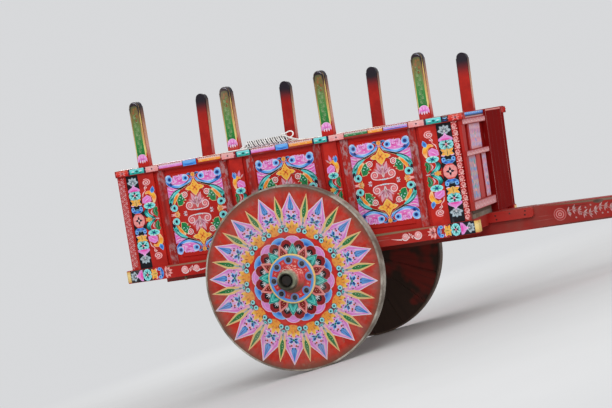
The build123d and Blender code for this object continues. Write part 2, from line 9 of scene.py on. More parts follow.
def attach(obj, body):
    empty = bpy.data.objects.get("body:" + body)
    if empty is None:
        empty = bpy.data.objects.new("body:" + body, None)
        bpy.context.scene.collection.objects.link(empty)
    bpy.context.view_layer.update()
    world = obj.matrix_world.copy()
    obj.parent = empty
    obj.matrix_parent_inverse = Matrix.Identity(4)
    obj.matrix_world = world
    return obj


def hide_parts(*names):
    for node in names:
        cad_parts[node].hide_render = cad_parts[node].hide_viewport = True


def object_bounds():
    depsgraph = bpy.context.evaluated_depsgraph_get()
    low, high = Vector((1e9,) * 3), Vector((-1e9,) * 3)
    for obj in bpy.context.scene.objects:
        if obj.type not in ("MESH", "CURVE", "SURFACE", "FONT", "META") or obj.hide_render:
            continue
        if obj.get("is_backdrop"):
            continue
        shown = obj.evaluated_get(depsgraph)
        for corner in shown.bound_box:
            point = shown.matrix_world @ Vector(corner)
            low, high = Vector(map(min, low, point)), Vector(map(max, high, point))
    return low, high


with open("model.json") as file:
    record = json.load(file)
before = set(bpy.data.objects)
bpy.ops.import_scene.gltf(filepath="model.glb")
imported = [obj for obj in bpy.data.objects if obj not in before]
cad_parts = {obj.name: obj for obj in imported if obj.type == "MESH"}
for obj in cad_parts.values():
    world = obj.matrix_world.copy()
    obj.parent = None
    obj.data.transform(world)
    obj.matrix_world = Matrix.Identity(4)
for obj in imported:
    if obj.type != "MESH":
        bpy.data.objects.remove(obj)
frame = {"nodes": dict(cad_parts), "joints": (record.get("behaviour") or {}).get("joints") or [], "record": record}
cad_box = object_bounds()

# The bed's own frame: origin at the axle's centre, +X along the pole, +Z square to the floor boards.
mounts = {mount["name"]: mount for mount in frame["record"]["mounts"]}
bed_up = mounts["yoke_hole"]["axis"]
pitch = atan2(bed_up[0], bed_up[2])
axle = Vector(frame["joints"][0]["pos_m"])
axle.y = 0.0
BED = Matrix.Translation(axle) @ Matrix.Rotation(pitch, 4, "Y")
mm = 0.001
FORWARD, LEFT, UPWARD = Vector((1, 0, 0)), Vector((0, 1, 0)), Vector((0, 0, 1))

# Camera, in the bed's frame, as the photograph saw the cart
camera_azimuth = radians(20.0)
camera_elevation = radians(1.93)
camera_roll = radians(-9.65)
camera_distance = 10.2
camera_target = Vector((-0.081, 0.0, 0.376))
image_width = 612
focal_length_px = 1715.0
sensor_width = 36.0

# Floor, sky and lamps, in metres and watts
floor_half = 40
floor_fade = (1.9, 7.0)
sky_strength = 0.72
sky_colour = (0.95, 0.96, 0.98)
lamp_aim = Vector((-0.6, 0.0, 0.8))
lamps = [
    # name, place, width, power
    ("key", (2.0, -8.0, 4.4), 4.5, 340),
    ("fill", (-4.5, 7.5, 4.2), 4.5, 260),
    ("front", (7.5, -1.0, 3.0), 4.0, 110),
]

# The cart's own sizes, in millimetres, as its solids have them
deck_z = 165.0
half_width = 480.0
lean = radians(2.7)
rake = radians(1.5)
wall_height = 551.0
rail_top = 589.0
rail_middle = 27.0
rail_proud = 14.0
panel_setback = 18.0
field_height = 6.0
field_margin = 96.0
end_board_setback = 4.0
wall_thickness = 56.0
side_front_x = 1023.0
stake_x = [-863.0, -289.667, 283.667, 857.0]
post_half = [50.0, 40.0, 40.0, 50.0]
stake_half = 35.0
stake_top_half = 31.0
stake_mean_half = 34.6
stake_edge = 4.0
stake_lengths = {-1: (380, 372, 365, 364), 1: (401, 382, 372, 358)}
bottom_rail_face_y = 488.0
bottom_rail_end_y = 456.0
bottom_rail_bevel_y = 485.5
bottom_rail_z = 127.5
bottom_rail_rear_x = -1084.0
bottom_rail_front_x = 1064.0
tail_x = -1032.0
pole_start_x = 1300.0
pole_length = 2200.0
pole_half = 60.0
pole_tip_half = 42.0
pole_drop = 44.0
pole_middle_z = 101.5
cheek_face_y = 90.0
cheek_middle_z = 137.0
wheel_face_y = 645.0
wheel_phase = -9.6
plate_face_y = 659.0
bolt_circle_radius = 107.0
bolt_phase = 10.0


def rgb(r, g, b):
    """A linear colour from the 0 to 255 values that a screen shows."""
    return tuple(((c / 255 + 0.055) / 1.055) ** 2.4 if c > 10 else c / 3295 for c in (r, g, b))


RED = rgb(186, 27, 20)
DEEP_RED = rgb(130, 16, 14)
POST_RED = rgb(186, 34, 26)
WHEEL_RED = rgb(186, 44, 28)
LILAC = rgb(218, 138, 208)
PALE_LILAC = rgb(226, 170, 222)
MAGENTA = rgb(222, 84, 172)
ROSE = rgb(240, 148, 148)
SALMON = rgb(226, 140, 138)
CREAM = rgb(238, 212, 165)
WHITE = rgb(226, 220, 220)
BLUE = rgb(72, 146, 226)
PALE_BLUE = rgb(128, 184, 236)
DARK_BLUE = rgb(30, 72, 160)
NAVY = rgb(22, 26, 56)
TEAL = rgb(70, 196, 190)
PALE_TEAL = rgb(140, 218, 222)
DARK_TEAL = rgb(14, 132, 120)
GREEN = rgb(26, 122, 62)
DARK_GREEN = rgb(14, 74, 44)
ORANGE = rgb(240, 142, 44)
YELLOW = rgb(238, 190, 66)
TAN = rgb(222, 180, 108)
BLACK = rgb(16, 16, 24)
GREY = rgb(150, 172, 182)
MAUVE = rgb(176, 104, 124)
MAROON = rgb(128, 18, 26)


# Camera, stage and lights


def add_object(name, data):
    thing = bpy.data.objects.new(name, data)
    bpy.context.collection.objects.link(thing)
    return thing


def make_camera():
    """The camera at the photograph's place beside the cart."""
    azimuth, elevation, roll = camera_azimuth, camera_elevation, camera_roll
    right = Vector((cos(azimuth), sin(azimuth), 0))
    forward = Vector((-sin(azimuth) * cos(elevation), cos(azimuth) * cos(elevation), -sin(elevation)))
    up = right.cross(forward)
    tilted_right = right * cos(roll) + up * sin(roll)
    tilted_up = up * cos(roll) - right * sin(roll)
    place = Matrix((tilted_right, tilted_up, -forward)).transposed().to_4x4()
    place.translation = camera_target - forward * camera_distance
    data = bpy.data.cameras.new("camera")
    data.sensor_width = sensor_width
    data.lens = focal_length_px / image_width * sensor_width
    camera = add_object("camera", data)
    camera.matrix_world = BED @ place
    bpy.context.scene.camera = camera


def make_lamp(name, place, width, power):
    """A soft square lamp at a place, turned to the cart."""
    data = bpy.data.lights.new(name, "AREA")
    data.energy = power
    data.size = width
    light = add_object(name, data)
    light.location = place
    light.rotation_euler = (lamp_aim - Vector(place)).to_track_quat("-Z", "Y").to_euler()


def make_stage():
    """A plain pale floor that melts into the sky's colour far off, under soft light from three sides."""
    mesh = bpy.data.meshes.new("floor")
    s = floor_half
    mesh.from_pydata([(-s, -s, 0), (s, -s, 0), (s, s, 0), (-s, s, 0)], [], [(0, 1, 2, 3)])
    floor = add_object("floor", mesh)
    tree = Tree("floor")
    x, y, _ = tree.axes()
    near = tree.mix(tree.noise(2.0, detail=3.0), (0.64, 0.64, 0.636), (0.68, 0.68, 0.676))
    far = tree.ramp(tree.reach(x, y), *floor_fade)
    tree.shade(tree.mix(far, near, (0.0, 0.0, 0.0)), 1.0, sheen=0.0)
    tree.put(tree.shader.inputs["Emission Color"], sky_colour)
    tree.put(tree.shader.inputs["Emission Strength"], tree.times(far, sky_strength))
    floor.data.materials.append(tree.material)
    floor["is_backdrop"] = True
    world = bpy.data.worlds.new("world")
    bpy.context.scene.world = world
    world.use_nodes = True
    background = world.node_tree.nodes["Background"]
    background.inputs["Color"].default_value = (*sky_colour, 1)
    background.inputs["Strength"].default_value = sky_strength
    for lamp in lamps:
        make_lamp(*lamp)


# Materials

# Where a material changes over to another look, as the two places that the change runs between, in metres.
# Across the bed from its middle, and for the walls and stakes less their lean:
wall_inner = (0.45, 0.44)
wheel_shaded_inner = (0.6, 0.59)
plate_inner = (0.62, 0.61)
hub_inner = (0.55, 0.548)
hub_sleeve = (0.7105, 0.7115)
stake_outer = (0.4655, 0.4675)
# Up from the axle:
stake_over_rail = (0.82, 0.84)
inner_dust = (0.22, 0.09)
hub_browner_below = (0.0, -0.06)
# Along the bed from the axle, and out from the hank's middle line:
hank_rear = (-0.204, -0.199)
hank_front = (0.060, 0.054)
hank_core = (0.0215, 0.0160)
# Out from the wheel's axis:
wheel_rim_dust = (0.465, 0.525)
wheel_rim_spots = (0.34, 0.5)

# How far noise is drawn out along each axis of the bed, as timber's grain is
GRAIN = {"x": (1.2, 26.0, 26.0), "z": (26.0, 26.0, 1.2), "y": (26.0, 1.2, 26.0)}


class Tree:
    """A material's nodes, with short names for the ones used here."""

    def __init__(self, name):
        self.material = bpy.data.materials.new(name)
        self.material.use_nodes = True
        self.tree = self.material.node_tree
        self.shader = self.tree.nodes["Principled BSDF"]
        coordinates = self.tree.nodes.new("ShaderNodeTexCoord")
        turned = self.add("ShaderNodeMapping", {"Vector": coordinates.outputs["Object"]})
        turned.inputs["Rotation"].default_value = (0, -pitch, 0)
        turned.inputs["Location"].default_value = -(Matrix.Rotation(-pitch, 3, "Y") @ axle)
        self.place = turned.outputs["Vector"]

    def add(self, kind, inputs, **settings):
        node = self.tree.nodes.new(kind)
        for key, value in settings.items():
            setattr(node, key, value)
        for key, value in inputs.items():
            self.put(node.inputs[key], value)
        return node

    def put(self, socket, value):
        if isinstance(value, bpy.types.NodeSocket):
            self.tree.links.new(value, socket)
        elif isinstance(value, tuple) and socket.type == "RGBA":
            socket.default_value = (*value, 1.0)
        else:
            socket.default_value = value

    def stretched(self, scale):
        """The bed's coordinates with each axis scaled, which draws noise out along the small ones."""
        return self.add("ShaderNodeVectorMath", {0: self.place, 1: scale}, operation="MULTIPLY").outputs[0]

    def noise(self, size, detail=4.0, rough=0.55, place=None, warp=0.0):
        inputs = {"Vector": place or self.place, "Scale": size, "Detail": detail, "Roughness": rough}
        return self.add("ShaderNodeTexNoise", {**inputs, "Distortion": warp}).outputs["Fac"]

    def grain(self, way):
        """The grain of timber that runs along one axis of the bed."""
        return self.noise(1.0, detail=6.0, rough=0.6, place=self.stretched(GRAIN[way]))

    def ramp(self, value, low, high):
        """0 below low, 1 above high, and smooth between."""
        inputs = {"Value": value, "From Min": low, "From Max": high}
        return self.add("ShaderNodeMapRange", inputs, interpolation_type="SMOOTHSTEP").outputs["Result"]

    def spread(self, value, low, high):
        """A value between 0 and 1 spread from low to high."""
        inputs = {"Value": value, "To Min": low, "To Max": high}
        return self.add("ShaderNodeMapRange", inputs).outputs["Result"]

    def mix(self, factor, first, second):
        return self.add("ShaderNodeMix", {0: factor, 6: first, 7: second}, data_type="RGBA").outputs[2]

    def over(self, base, colour, mask, share):
        """The base with a colour laid over it where a mask is 1, up to a share."""
        return self.mix(self.times(mask, share), base, colour)

    def maths(self, kind, first, second=0.0):
        return self.add("ShaderNodeMath", {0: first, 1: second}, operation=kind).outputs[0]

    def plus(self, first, second):
        return self.maths("ADD", first, second)

    def minus(self, first, second):
        return self.maths("SUBTRACT", first, second)

    def times(self, first, second):
        return self.maths("MULTIPLY", first, second)

    def reach(self, first, second):
        """The distance from the origin that two coordinates give."""
        return self.maths("SQRT", self.plus(self.times(first, first), self.times(second, second)))

    def out_of_wall(self, y, z):
        """How far out a place lies, less the lean of the side walls at its height."""
        return self.minus(self.maths("ABSOLUTE", y), self.times(z, tan(lean)))

    def axes(self):
        return self.add("ShaderNodeSeparateXYZ", {0: self.place}).outputs

    def shade(self, colour, roughness, bump=None, strength=0.3, metallic=0.0, distance=0.001, sheen=0.18):
        self.put(self.shader.inputs["Base Color"], colour)
        self.put(self.shader.inputs["Roughness"], roughness)
        self.shader.inputs["Metallic"].default_value = metallic
        self.shader.inputs["Specular IOR Level"].default_value = sheen
        if bump is not None:
            inputs = {"Height": bump, "Strength": strength, "Distance": distance}
            self.put(self.shader.inputs["Normal"], self.add("ShaderNodeBump", inputs).outputs["Normal"])
        return self.material


def painted_wood(name, colour, way, worn=(0.42, 0.17, 0.15), wear=0.6, dirt=0.25, gloss=0.5, fade=None,
                 sheen=0.18, inner=None):
    """Brushed oil paint over grainy timber, rubbed pale in places and dusty low down."""
    tree = Tree(name)
    x, y, z = tree.axes()
    grain = tree.grain(way)
    brush = tree.noise(3.2, detail=3.0, place=tree.stretched(GRAIN[way]))
    blotch = tree.noise(5.0, detail=4.0)
    base = tree.mix(tree.ramp(blotch, 0.3, 0.7), tuple(c * 0.62 for c in colour), colour)
    base = tree.over(tuple(c * 0.8 for c in colour), base, tree.ramp(grain, 0.35, 0.62), 0.55)
    rubbed = tree.times(tree.ramp(brush, wear, wear + 0.14), tree.ramp(tree.noise(9.0), 0.42, 0.66))
    base = tree.over(base, worn, rubbed, 0.75)
    base = tree.over(base, (0.17, 0.12, 0.09), tree.ramp(tree.noise(2.6, detail=6.0), 0.45, 0.75), dirt)
    if inner:
        scuffs = tree.noise(1.0, detail=8.0, rough=0.7, place=tree.stretched((2.0, 22.0, 22.0)))
        back = tree.mix(tree.ramp(scuffs, 0.52, 0.66), inner, rgb(160, 84, 66))
        low = tree.ramp(tree.minus(z, tree.times(blotch, 0.2)), *inner_dust)
        back = tree.over(back, rgb(104, 74, 58), low, 0.8)
        base = tree.mix(tree.ramp(tree.out_of_wall(y, z), *wall_inner), base, back)
    if fade:
        far = tree.ramp(x, *fade)
        base = tree.over(base, rgb(104, 70, 60), far, tree.ramp(tree.plus(brush, far), 0.5, 1.3))
    return tree.shade(base, tree.spread(blotch, gloss - 0.06, gloss + 0.16), grain, 0.35, sheen=sheen)


def speckled_paint():
    """Red battens whose paint is rubbed to a pinkish grey in fine upright specks."""
    tree = Tree("batten_paint")
    specks = tree.noise(46.0, detail=6.0, rough=0.7, place=tree.stretched((1.0, 1.0, 0.45)))
    base = tree.mix(tree.ramp(tree.grain("z"), 0.35, 0.65), rgb(128, 26, 22), rgb(172, 34, 26))
    patch = tree.times(tree.ramp(specks, 0.46, 0.56), tree.ramp(tree.noise(7.0), 0.36, 0.56))
    base = tree.over(base, rgb(164, 124, 126), patch, 0.85)
    base = tree.mix(tree.ramp(specks, 0.62, 0.7), base, rgb(96, 84, 84))
    return tree.shade(base, 0.6, specks, 0.4)


def bare_timber(name, way):
    """Grey-brown weathered wood with open grain and darker checks."""
    tree = Tree(name)
    grain = tree.noise(1.4, detail=8.0, rough=0.65, place=tree.stretched(GRAIN[way]), warp=0.3)
    base = tree.mix(tree.ramp(grain, 0.32, 0.7), (0.11, 0.075, 0.05), (0.3, 0.21, 0.14))
    base = tree.mix(tree.ramp(tree.noise(3.0), 0.5, 0.75), base, (0.24, 0.2, 0.17))
    return tree.shade(base, 0.82, grain, 0.6)


def worn_iron(name, light, dark, rust, metallic, rough=0.55):
    """Iron with rust in its pits and a rubbed sheen."""
    tree = Tree(name)
    pits = tree.noise(60.0, detail=6.0, rough=0.65)
    patches = tree.noise(9.0, detail=5.0)
    base = tree.mix(tree.ramp(patches, 0.35, 0.65), dark, light)
    base = tree.over(base, rust, tree.ramp(pits, 0.5, 0.7), 0.7)
    return tree.shade(base, tree.spread(patches, rough - 0.1, rough + 0.15), pits, 0.3, metallic, sheen=0.4)


def brush_paint(name, dim, bright, dusty):
    """The ornament's paint: it takes the colour of each stroke, with brush marks, chips and dust."""
    tree = Tree(name)
    colour = tree.add("ShaderNodeVertexColor", {}, layer_name="paint").outputs["Color"]
    marks = tree.noise(34.0, detail=4.0, rough=0.6)
    shades = {"Color": colour, "Value": tree.spread(marks, dim, bright)}
    lit = tree.add("ShaderNodeHueSaturation", shades).outputs["Color"]
    chips = tree.times(tree.ramp(tree.noise(120.0, detail=5.0), 0.66, 0.7),
                       tree.ramp(tree.noise(11.0), 0.5, 0.62))
    lit = tree.over(lit, (0.3, 0.1, 0.08), chips, 0.6)
    dust = tree.ramp(tree.noise(7.0, detail=5.0), 0.5 - dusty, 0.8)
    lit = tree.over(lit, (0.42, 0.3, 0.26), dust, 0.22 + dusty)
    return tree.shade(lit, 0.46, marks, 0.25, distance=0.0006)


def wheel_field():
    """Red paint over radial grain that turns to brown road dust towards the rim, with the inner side painted dark
    as shade, with some grime.
    """
    tree = Tree("wheel_field")
    x, y, z = tree.axes()
    radius = tree.reach(x, z)
    polar = {0: tree.times(tree.maths("ARCTAN2", z, x), 18.0), 1: tree.times(radius, 3.0)}
    polar = tree.add("ShaderNodeCombineXYZ", polar).outputs[0]
    grain = tree.noise(1.0, detail=6.0, rough=0.6, place=polar)
    blotch = tree.noise(7.0, detail=5.0)
    base = tree.mix(tree.ramp(grain, 0.3, 0.7), rgb(158, 32, 22), WHEEL_RED)
    base = tree.mix(tree.ramp(blotch, 0.5, 0.85), base, rgb(190, 70, 50))
    veil = tree.ramp(tree.noise(12.0, detail=8.0, rough=0.65), 0.4, 0.66)
    base = tree.over(base, rgb(140, 110, 105), veil, 0.36)
    edge = tree.plus(radius, tree.times(tree.minus(blotch, 0.5), 0.09))
    base = tree.over(base, rgb(98, 70, 56), tree.ramp(edge, *wheel_rim_dust), 0.85)
    spots = tree.times(tree.ramp(tree.noise(40.0, detail=5.0), 0.56, 0.7), tree.ramp(edge, *wheel_rim_spots))
    base = tree.over(base, rgb(134, 100, 82), spots, 0.45)
    # The inner face's dark brown-red stands for the shade that falls there under the cart, with some grime:
    # painted shade.
    back = tree.mix(tree.ramp(tree.noise(3.6, detail=3.0), 0.47, 0.56), rgb(60, 44, 35), rgb(118, 40, 32))
    back = tree.over(back, rgb(48, 35, 29), tree.ramp(grain, 0.45, 0.7), 0.5)
    base = tree.mix(tree.ramp(tree.maths("ABSOLUTE", y), *wheel_shaded_inner), base, back)
    return tree.shade(base, 0.6, grain, 0.3)


def plate_paint():
    """The hub plates: cream and yellow on the outer side, dark red on the inner one."""
    tree = Tree("plate_paint")
    _, y, _ = tree.axes()
    patches = tree.noise(24.0, detail=5.0)
    base = tree.mix(tree.ramp(patches, 0.4, 0.62), rgb(236, 196, 118), rgb(232, 206, 160))
    base = tree.over(base, rgb(126, 84, 60), tree.ramp(tree.noise(70.0), 0.58, 0.7), 0.5)
    back = tree.mix(tree.ramp(patches, 0.4, 0.6), rgb(70, 32, 26), rgb(110, 34, 28))
    base = tree.mix(tree.ramp(tree.maths("ABSOLUTE", y), *plate_inner), base, back)
    return tree.shade(base, 0.55, patches, 0.3)


def hub_paint():
    """The nose: pink-red paint flecked with cream above the axle and browner below it, with a grey-green sleeve at
    its end, dark with grease in its mouth and with painted shade over its lower part.
    """
    tree = Tree("hub_paint")
    x, y, z = tree.axes()
    out = tree.maths("ABSOLUTE", y)
    patches = tree.noise(22.0, detail=5.0)
    base = tree.mix(tree.ramp(patches, 0.4, 0.6), rgb(186, 44, 44), rgb(214, 92, 88))
    base = tree.mix(tree.ramp(z, *hub_browner_below), base, rgb(122, 88, 66))
    cream = tree.times(tree.ramp(tree.noise(95.0, detail=3.0), 0.53, 0.6), tree.ramp(z, 0.0, 0.05))
    base = tree.mix(cream, base, rgb(232, 190, 176))
    sleeve = tree.mix(tree.ramp(patches, 0.4, 0.62), rgb(112, 116, 96), rgb(164, 160, 138))
    # The sleeve is darkened over its lower part, where shade falls: painted shade. Its mouth is dark with grease.
    low = tree.ramp(tree.plus(z, tree.times(x, 0.5)), 0.012, -0.04)
    grease_and_shade = tree.maths("MAXIMUM", tree.ramp(tree.reach(x, z), 0.047, 0.041), low)
    sleeve = tree.over(sleeve, rgb(34, 32, 25), grease_and_shade, 0.92)
    base = tree.mix(tree.ramp(out, *hub_sleeve), base, sleeve)
    base = tree.mix(tree.ramp(out, *hub_inner), base, rgb(70, 52, 44))
    return tree.shade(base, 0.6, tree.noise(70.0, detail=6.0), 0.4)


def rope_fibre():
    """White laid rope with fine yarns, darkened inside the hank between its turns: painted shade, with some dirt.
    """
    tree = Tree("rope_fibre")
    yarns = tree.noise(300.0, detail=4.0)
    patches = tree.noise(26.0, detail=4.0)
    base = tree.mix(tree.ramp(patches, 0.4, 0.65), rgb(228, 224, 220), rgb(250, 248, 246))
    base = tree.over(base, rgb(150, 142, 134), tree.ramp(yarns, 0.56, 0.74), 0.34)
    x, y, z = tree.axes()
    off_centre = tree.reach(*(tree.minus(part, middle) for part, middle in zip((y, z), rope_middle)))
    # Dark inside the hank, near its middle line: painted shade between the turns, with some dirt.
    wound = tree.times(tree.ramp(x, *hank_rear), tree.ramp(x, *hank_front))
    shade_and_dirt_in_hank = tree.times(tree.ramp(off_centre, *hank_core), wound)
    base = tree.over(base, rgb(26, 23, 24), shade_and_dirt_in_hank, 0.96)
    return tree.shade(base, 0.85, yarns, 0.6)


def stake_paint(name, top, fall):
    """The stakes' timber: red inside, straw-coloured outside, with a dark cap that fades downward."""
    tree = Tree(name)
    x, y, z = tree.axes()
    grain = tree.grain("z")
    blotch = tree.noise(12.0, detail=5.0)
    base = tree.mix(tree.ramp(blotch, 0.3, 0.7), rgb(156, 24, 18), rgb(188, 36, 24))
    base = tree.over(base, rgb(190, 110, 96), tree.ramp(grain, 0.6, 0.72), 0.4)
    outside = tree.ramp(tree.out_of_wall(y, z), *stake_outer)
    outer = tree.times(outside, tree.ramp(z, *stake_over_rail))
    straw_tint = tree.mix(tree.ramp(blotch, 0.35, 0.65), rgb(206, 184, 104), rgb(196, 150, 88))
    base = tree.mix(outer, base, straw_tint)
    high = tree.plus(z, tree.times(x, fall))
    high = tree.plus(high, tree.times(tree.minus(blotch, 0.5), 0.05))
    low_edge = tree.plus(tree.times(outer, 0.055), top - 0.095)
    base = tree.mix(tree.ramp(tree.minus(high, low_edge), -0.06, 0.05), base, rgb(36, 30, 40))
    return tree.shade(base, 0.5, grain, 0.4)


# Rope

rope_diameter = 0.008
# The rope's line on the right top rail, in millimetres: along it, inward from its middle, and up from its top
rope_rear_tail = [
    (-323, -33.8, 4.2), (-306, -33, 4.2), (-286, -34.5, 4.2), (-266, -33.5, 4.2), (-247, -33, 4.2),
    (-230, -33.5, 4.2), (-217, -32.5, 4.2), (-208, -28.5, 4.3), (-201, -20, 4.5),
]
rope_front_bight = [
    (60, 15, 5.2), (70, 21.5, 4.4), (85, 26.5, 4.2), (101, 25.5, 4.2), (114, 17.5, 4.2), (119, 4, 4.2),
    (115, -10.5, 4.4), (104, -19, 6), (90, -18.5, 11), (78, -11.5, 17.5), (66, -6, 21), (50, -4.8, 22.8),
]
rope_core_rearward = [(15, -4.6, 23.2), (-30, -4.8, 22.6), (-80, -4.6, 23.2), (-130, -4.8, 22.8)]
rope_rear_bight = [
    (-173, -5, 23), (-194, -6, 22.6), (-209, -13, 19), (-220, -21, 14), (-234, -19, 8.5), (-242, -7, 5.5),
    (-242, 7, 4.6), (-234, 19, 5), (-220, 21, 9), (-209, 13, 16), (-194, 6, 21.5), (-173, 5, 22.8),
]
rope_core_forward = [(-130, 4.8, 23.2), (-80, 4.6, 22.8), (-30, 4.8, 23.2), (15, 4.6, 22.6)]
rope_front_tail = [
    (50, 4.8, 23), (66, 5, 25), (80, 6, 31), (88, 8.5, 43), (83, 11, 56), (69, 11.5, 61), (53, 10, 57),
    (39, 8, 52), (24, 3, 50), (16, -8, 49.8), (21, -20, 48), (35, -27, 44), (52, -29, 38), (72, -31, 29),
    (92, -32.5, 20), (112, -32, 12), (130, -29, 6), (148, -26, 4.2), (164, -25, 4.2),
]
rope_turns = 18
rope_turn_points = 14
rope_turn_steps = (9.3, 18.7)
rope_turn_start = -196
rope_turn_reach = (20.6, 18.6)
rope_turn_height = 23
rope_turn_slant = 8
# The hank's middle line in the bed's frame, in metres: across, and up
rope_middle = (-0.4819, 0.7776)
# The strands lie round the rope's middle and turn once in this length
strand_share = 0.25
lay_share = 3.2
# The whipping round each end, and the fibres that stand out of it
whipping_rings = 10
whipping_step = 0.0008
fibre_count = 16
fibre_radii = [0.0004, 0.00035, 0.0001]


def rope_wraps():
    """The turns round the hank. They lie in pairs, and no two are quite the same size."""
    line = []
    x = rope_turn_start
    for k in range(rope_turns * rope_turn_points):
        turn = k / rope_turn_points
        angle = radians(-148 - 360 * turn)
        loose = 1 + 0.02 * sin(2.3 * int(turn)) * sin(pi * (turn % 1))
        wide, tall = rope_turn_reach
        slant = rope_turn_slant * min(1.0, turn / 1.5, (rope_turns - turn) / 1.5)
        line.append((x - slant * cos(angle), wide * loose * sin(angle),
                     rope_turn_height + tall * loose * cos(angle)))
        x += rope_turn_steps[int(turn) % 2] / rope_turn_points
    return line


def rail_place():
    """Maps the rope's coordinates on to the right top rail."""
    inward = Vector((0, cos(lean), sin(lean)))
    up = Vector((0, -sin(lean), cos(lean)))
    origin = Vector((0, -half_width, deck_z)) + up * rail_top + inward * rail_middle
    rows = Matrix((FORWARD, inward, up)).transposed().to_4x4()
    rows.translation = origin * mm
    return BED @ rows


def spline_points(points):
    """The smooth line that a NURBS spline draws from its control points."""
    data = bpy.data.curves.new("rope_route", "CURVE")
    data.dimensions = "3D"
    data.resolution_u = 5
    spline = data.splines.new("NURBS")
    spline.points.add(len(points) - 1)
    for point, place in zip(spline.points, points):
        point.co = (*place, 1.0)
    spline.order_u = 3
    spline.use_endpoint_u = True
    route = bpy.data.objects.new("rope_route", data)
    mesh = bpy.data.meshes.new_from_object(route)
    line = [vertex.co.copy() for vertex in mesh.vertices]
    bpy.data.objects.remove(route)
    bpy.data.curves.remove(data)
    bpy.data.meshes.remove(mesh)
    return line


def frames_along(line):
    """Each place of a line with two directions square to it, which turn no more than the line does."""
    side = (line[1] - line[0]).orthogonal().normalized()
    for i, place in enumerate(line):
        ahead = (line[min(i + 1, len(line) - 1)] - line[max(i - 1, 0)]).normalized()
        side = (side - ahead * side.dot(ahead)).normalized()
        yield place, side, ahead.cross(side)


def rings_along(line, radii, sides):
    """A closed round tube's points and faces along a line, with a radius at each point."""
    points, faces = [], []
    for (place, side, across), radius in zip(frames_along(line), radii):
        for j in range(sides):
            angle = 2 * pi * j / sides
            points.append(place + (side * cos(angle) + across * sin(angle)) * radius)
    for i in range(len(line) - 1):
        for j in range(sides):
            k = (j + 1) % sides
            faces.append((i * sides + j, i * sides + k, (i + 1) * sides + k, (i + 1) * sides + j))
    last = (len(line) - 1) * sides
    faces += [tuple(reversed(range(sides))), tuple(range(last, last + sides))]
    return points, faces


def add_piece(name, mesh, material, body):
    """A mesh as one piece that rides on a body."""
    mesh.materials.append(material)
    piece = add_object(name, mesh)
    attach(piece, body)
    return piece


def rope_piece(name, parts, material):
    """One smooth piece of the rope from several lists of points and faces."""
    points, faces = [], []
    for more_points, more_faces in parts:
        first = len(points)
        points += more_points
        faces += [tuple(first + i for i in face) for face in more_faces]
    mesh = bpy.data.meshes.new(name)
    mesh.from_pydata(points, [], faces)
    for face in mesh.polygons:
        face.use_smooth = True
    return add_piece(name, mesh, material, "root")


def rope_end(tip, before):
    """The whipping and the frayed fibres of one end of the rope."""
    outward = (tip - before).normalized()
    across = outward.orthogonal().normalized()
    band = [tip - outward * (0.010 - whipping_step * i) for i in range(whipping_rings)]
    radii = [rope_diameter * (0.53 if i % 2 else 0.49) for i in range(whipping_rings)]
    parts = [rings_along(band, radii, 12)]
    for i in range(fibre_count):
        spin = Matrix.Rotation(2 * pi * i * 0.382, 3, outward) @ across
        spread = 0.0006 + 0.0024 * ((i * 7) % fibre_count) / fibre_count
        ahead = outward * (0.010 + 0.006 * ((i * 5) % fibre_count) / fibre_count)
        fibre = [tip + spin * spread * 0.5, tip + ahead * 0.5 + spin * spread,
                 tip + ahead + spin * spread * 1.2]
        parts.append(rings_along(fibre, fibre_radii, 5))
    return parts


def make_rope(material):
    """A laid rope of three strands, wound into a hank on the rail, with whipped and frayed ends."""
    place = rail_place()
    controls = rope_rear_tail + rope_wraps() + rope_front_bight + rope_core_rearward
    controls += rope_rear_bight + rope_core_forward + rope_front_tail
    line = spline_points([place @ Vector([part * mm for part in point]) for point in controls])
    strand_radius = rope_diameter * strand_share
    strands = [[], [], []]
    travelled = 0.0
    before = line[0]
    for point, side, across in frames_along(line):
        travelled += (point - before).length
        before = point
        for k, strand in enumerate(strands):
            angle = 2 * pi * (travelled / (rope_diameter * lay_share) + k / 3)
            strand.append(point + (side * cos(angle) + across * sin(angle)) * strand_radius)
    parts = [rings_along(strand, [strand_radius] * len(strand), 7) for strand in strands]
    rope = rope_piece("rope", parts, material)
    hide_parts("rope_hank")
    ends = rope_piece("rope_ends", rope_end(line[0], line[4]) + rope_end(line[-1], line[-5]), material)
    length = sum((b - a).length for a, b in zip(line, line[1:]))
    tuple(line[0])


# Painting. A sheet gathers the strokes of one piece, and a pen draws them on a plane of the cart.

# How far the lowest stroke lies off its plane, and how far each layer lies over the one below
LIFT = 0.35
LAYER = 0.14


class Sheet:
    """The painted strokes that make one piece."""

    def __init__(self, name, body):
        self.name, self.body = name, body
        self.points, self.faces, self.colours = [], [], []

    def finish(self, material, field=None):
        mesh = bpy.data.meshes.new(self.name)
        mesh.from_pydata([BED @ (point * mm) for point in self.points], [], self.faces)
        layer = mesh.color_attributes.new("paint", "FLOAT_COLOR", "POINT")
        flat = [part for colour in self.colours for part in (*colour, 1.0)]
        layer.data.foreach_set("color", flat)
        if field:
            drape(mesh, *field)
        add_piece(self.name, mesh, material, self.body)


def drape(mesh, middle, across, inward, foot):
    """Lets paint that reaches past a panel's raised field follow its sloping edges down to the board."""
    work = bmesh.new()
    work.from_mesh(mesh)
    flat = foot - field_height * mm
    for reach in (-foot, -flat, flat, foot):
        parts = work.verts[:] + work.edges[:] + work.faces[:]
        bmesh.ops.bisect_plane(work, geom=parts, plane_co=middle + across * reach, plane_no=across)
    for vertex in work.verts:
        over = abs((vertex.co - middle).dot(across)) - flat
        vertex.co += inward * min(max(over, 0.0), field_height * mm)
    work.to_mesh(mesh)
    work.free()


def blend(first, second, share):
    return tuple(a + (b - a) * share for a, b in zip(first, second))


def along(values, share):
    """The value at a share of the way through a list of numbers or colours."""
    place = share * (len(values) - 1)
    i = min(int(place), len(values) - 2)
    if isinstance(values[0], tuple):
        return blend(values[i], values[i + 1], place - i)
    return values[i] + (values[i + 1] - values[i]) * (place - i)


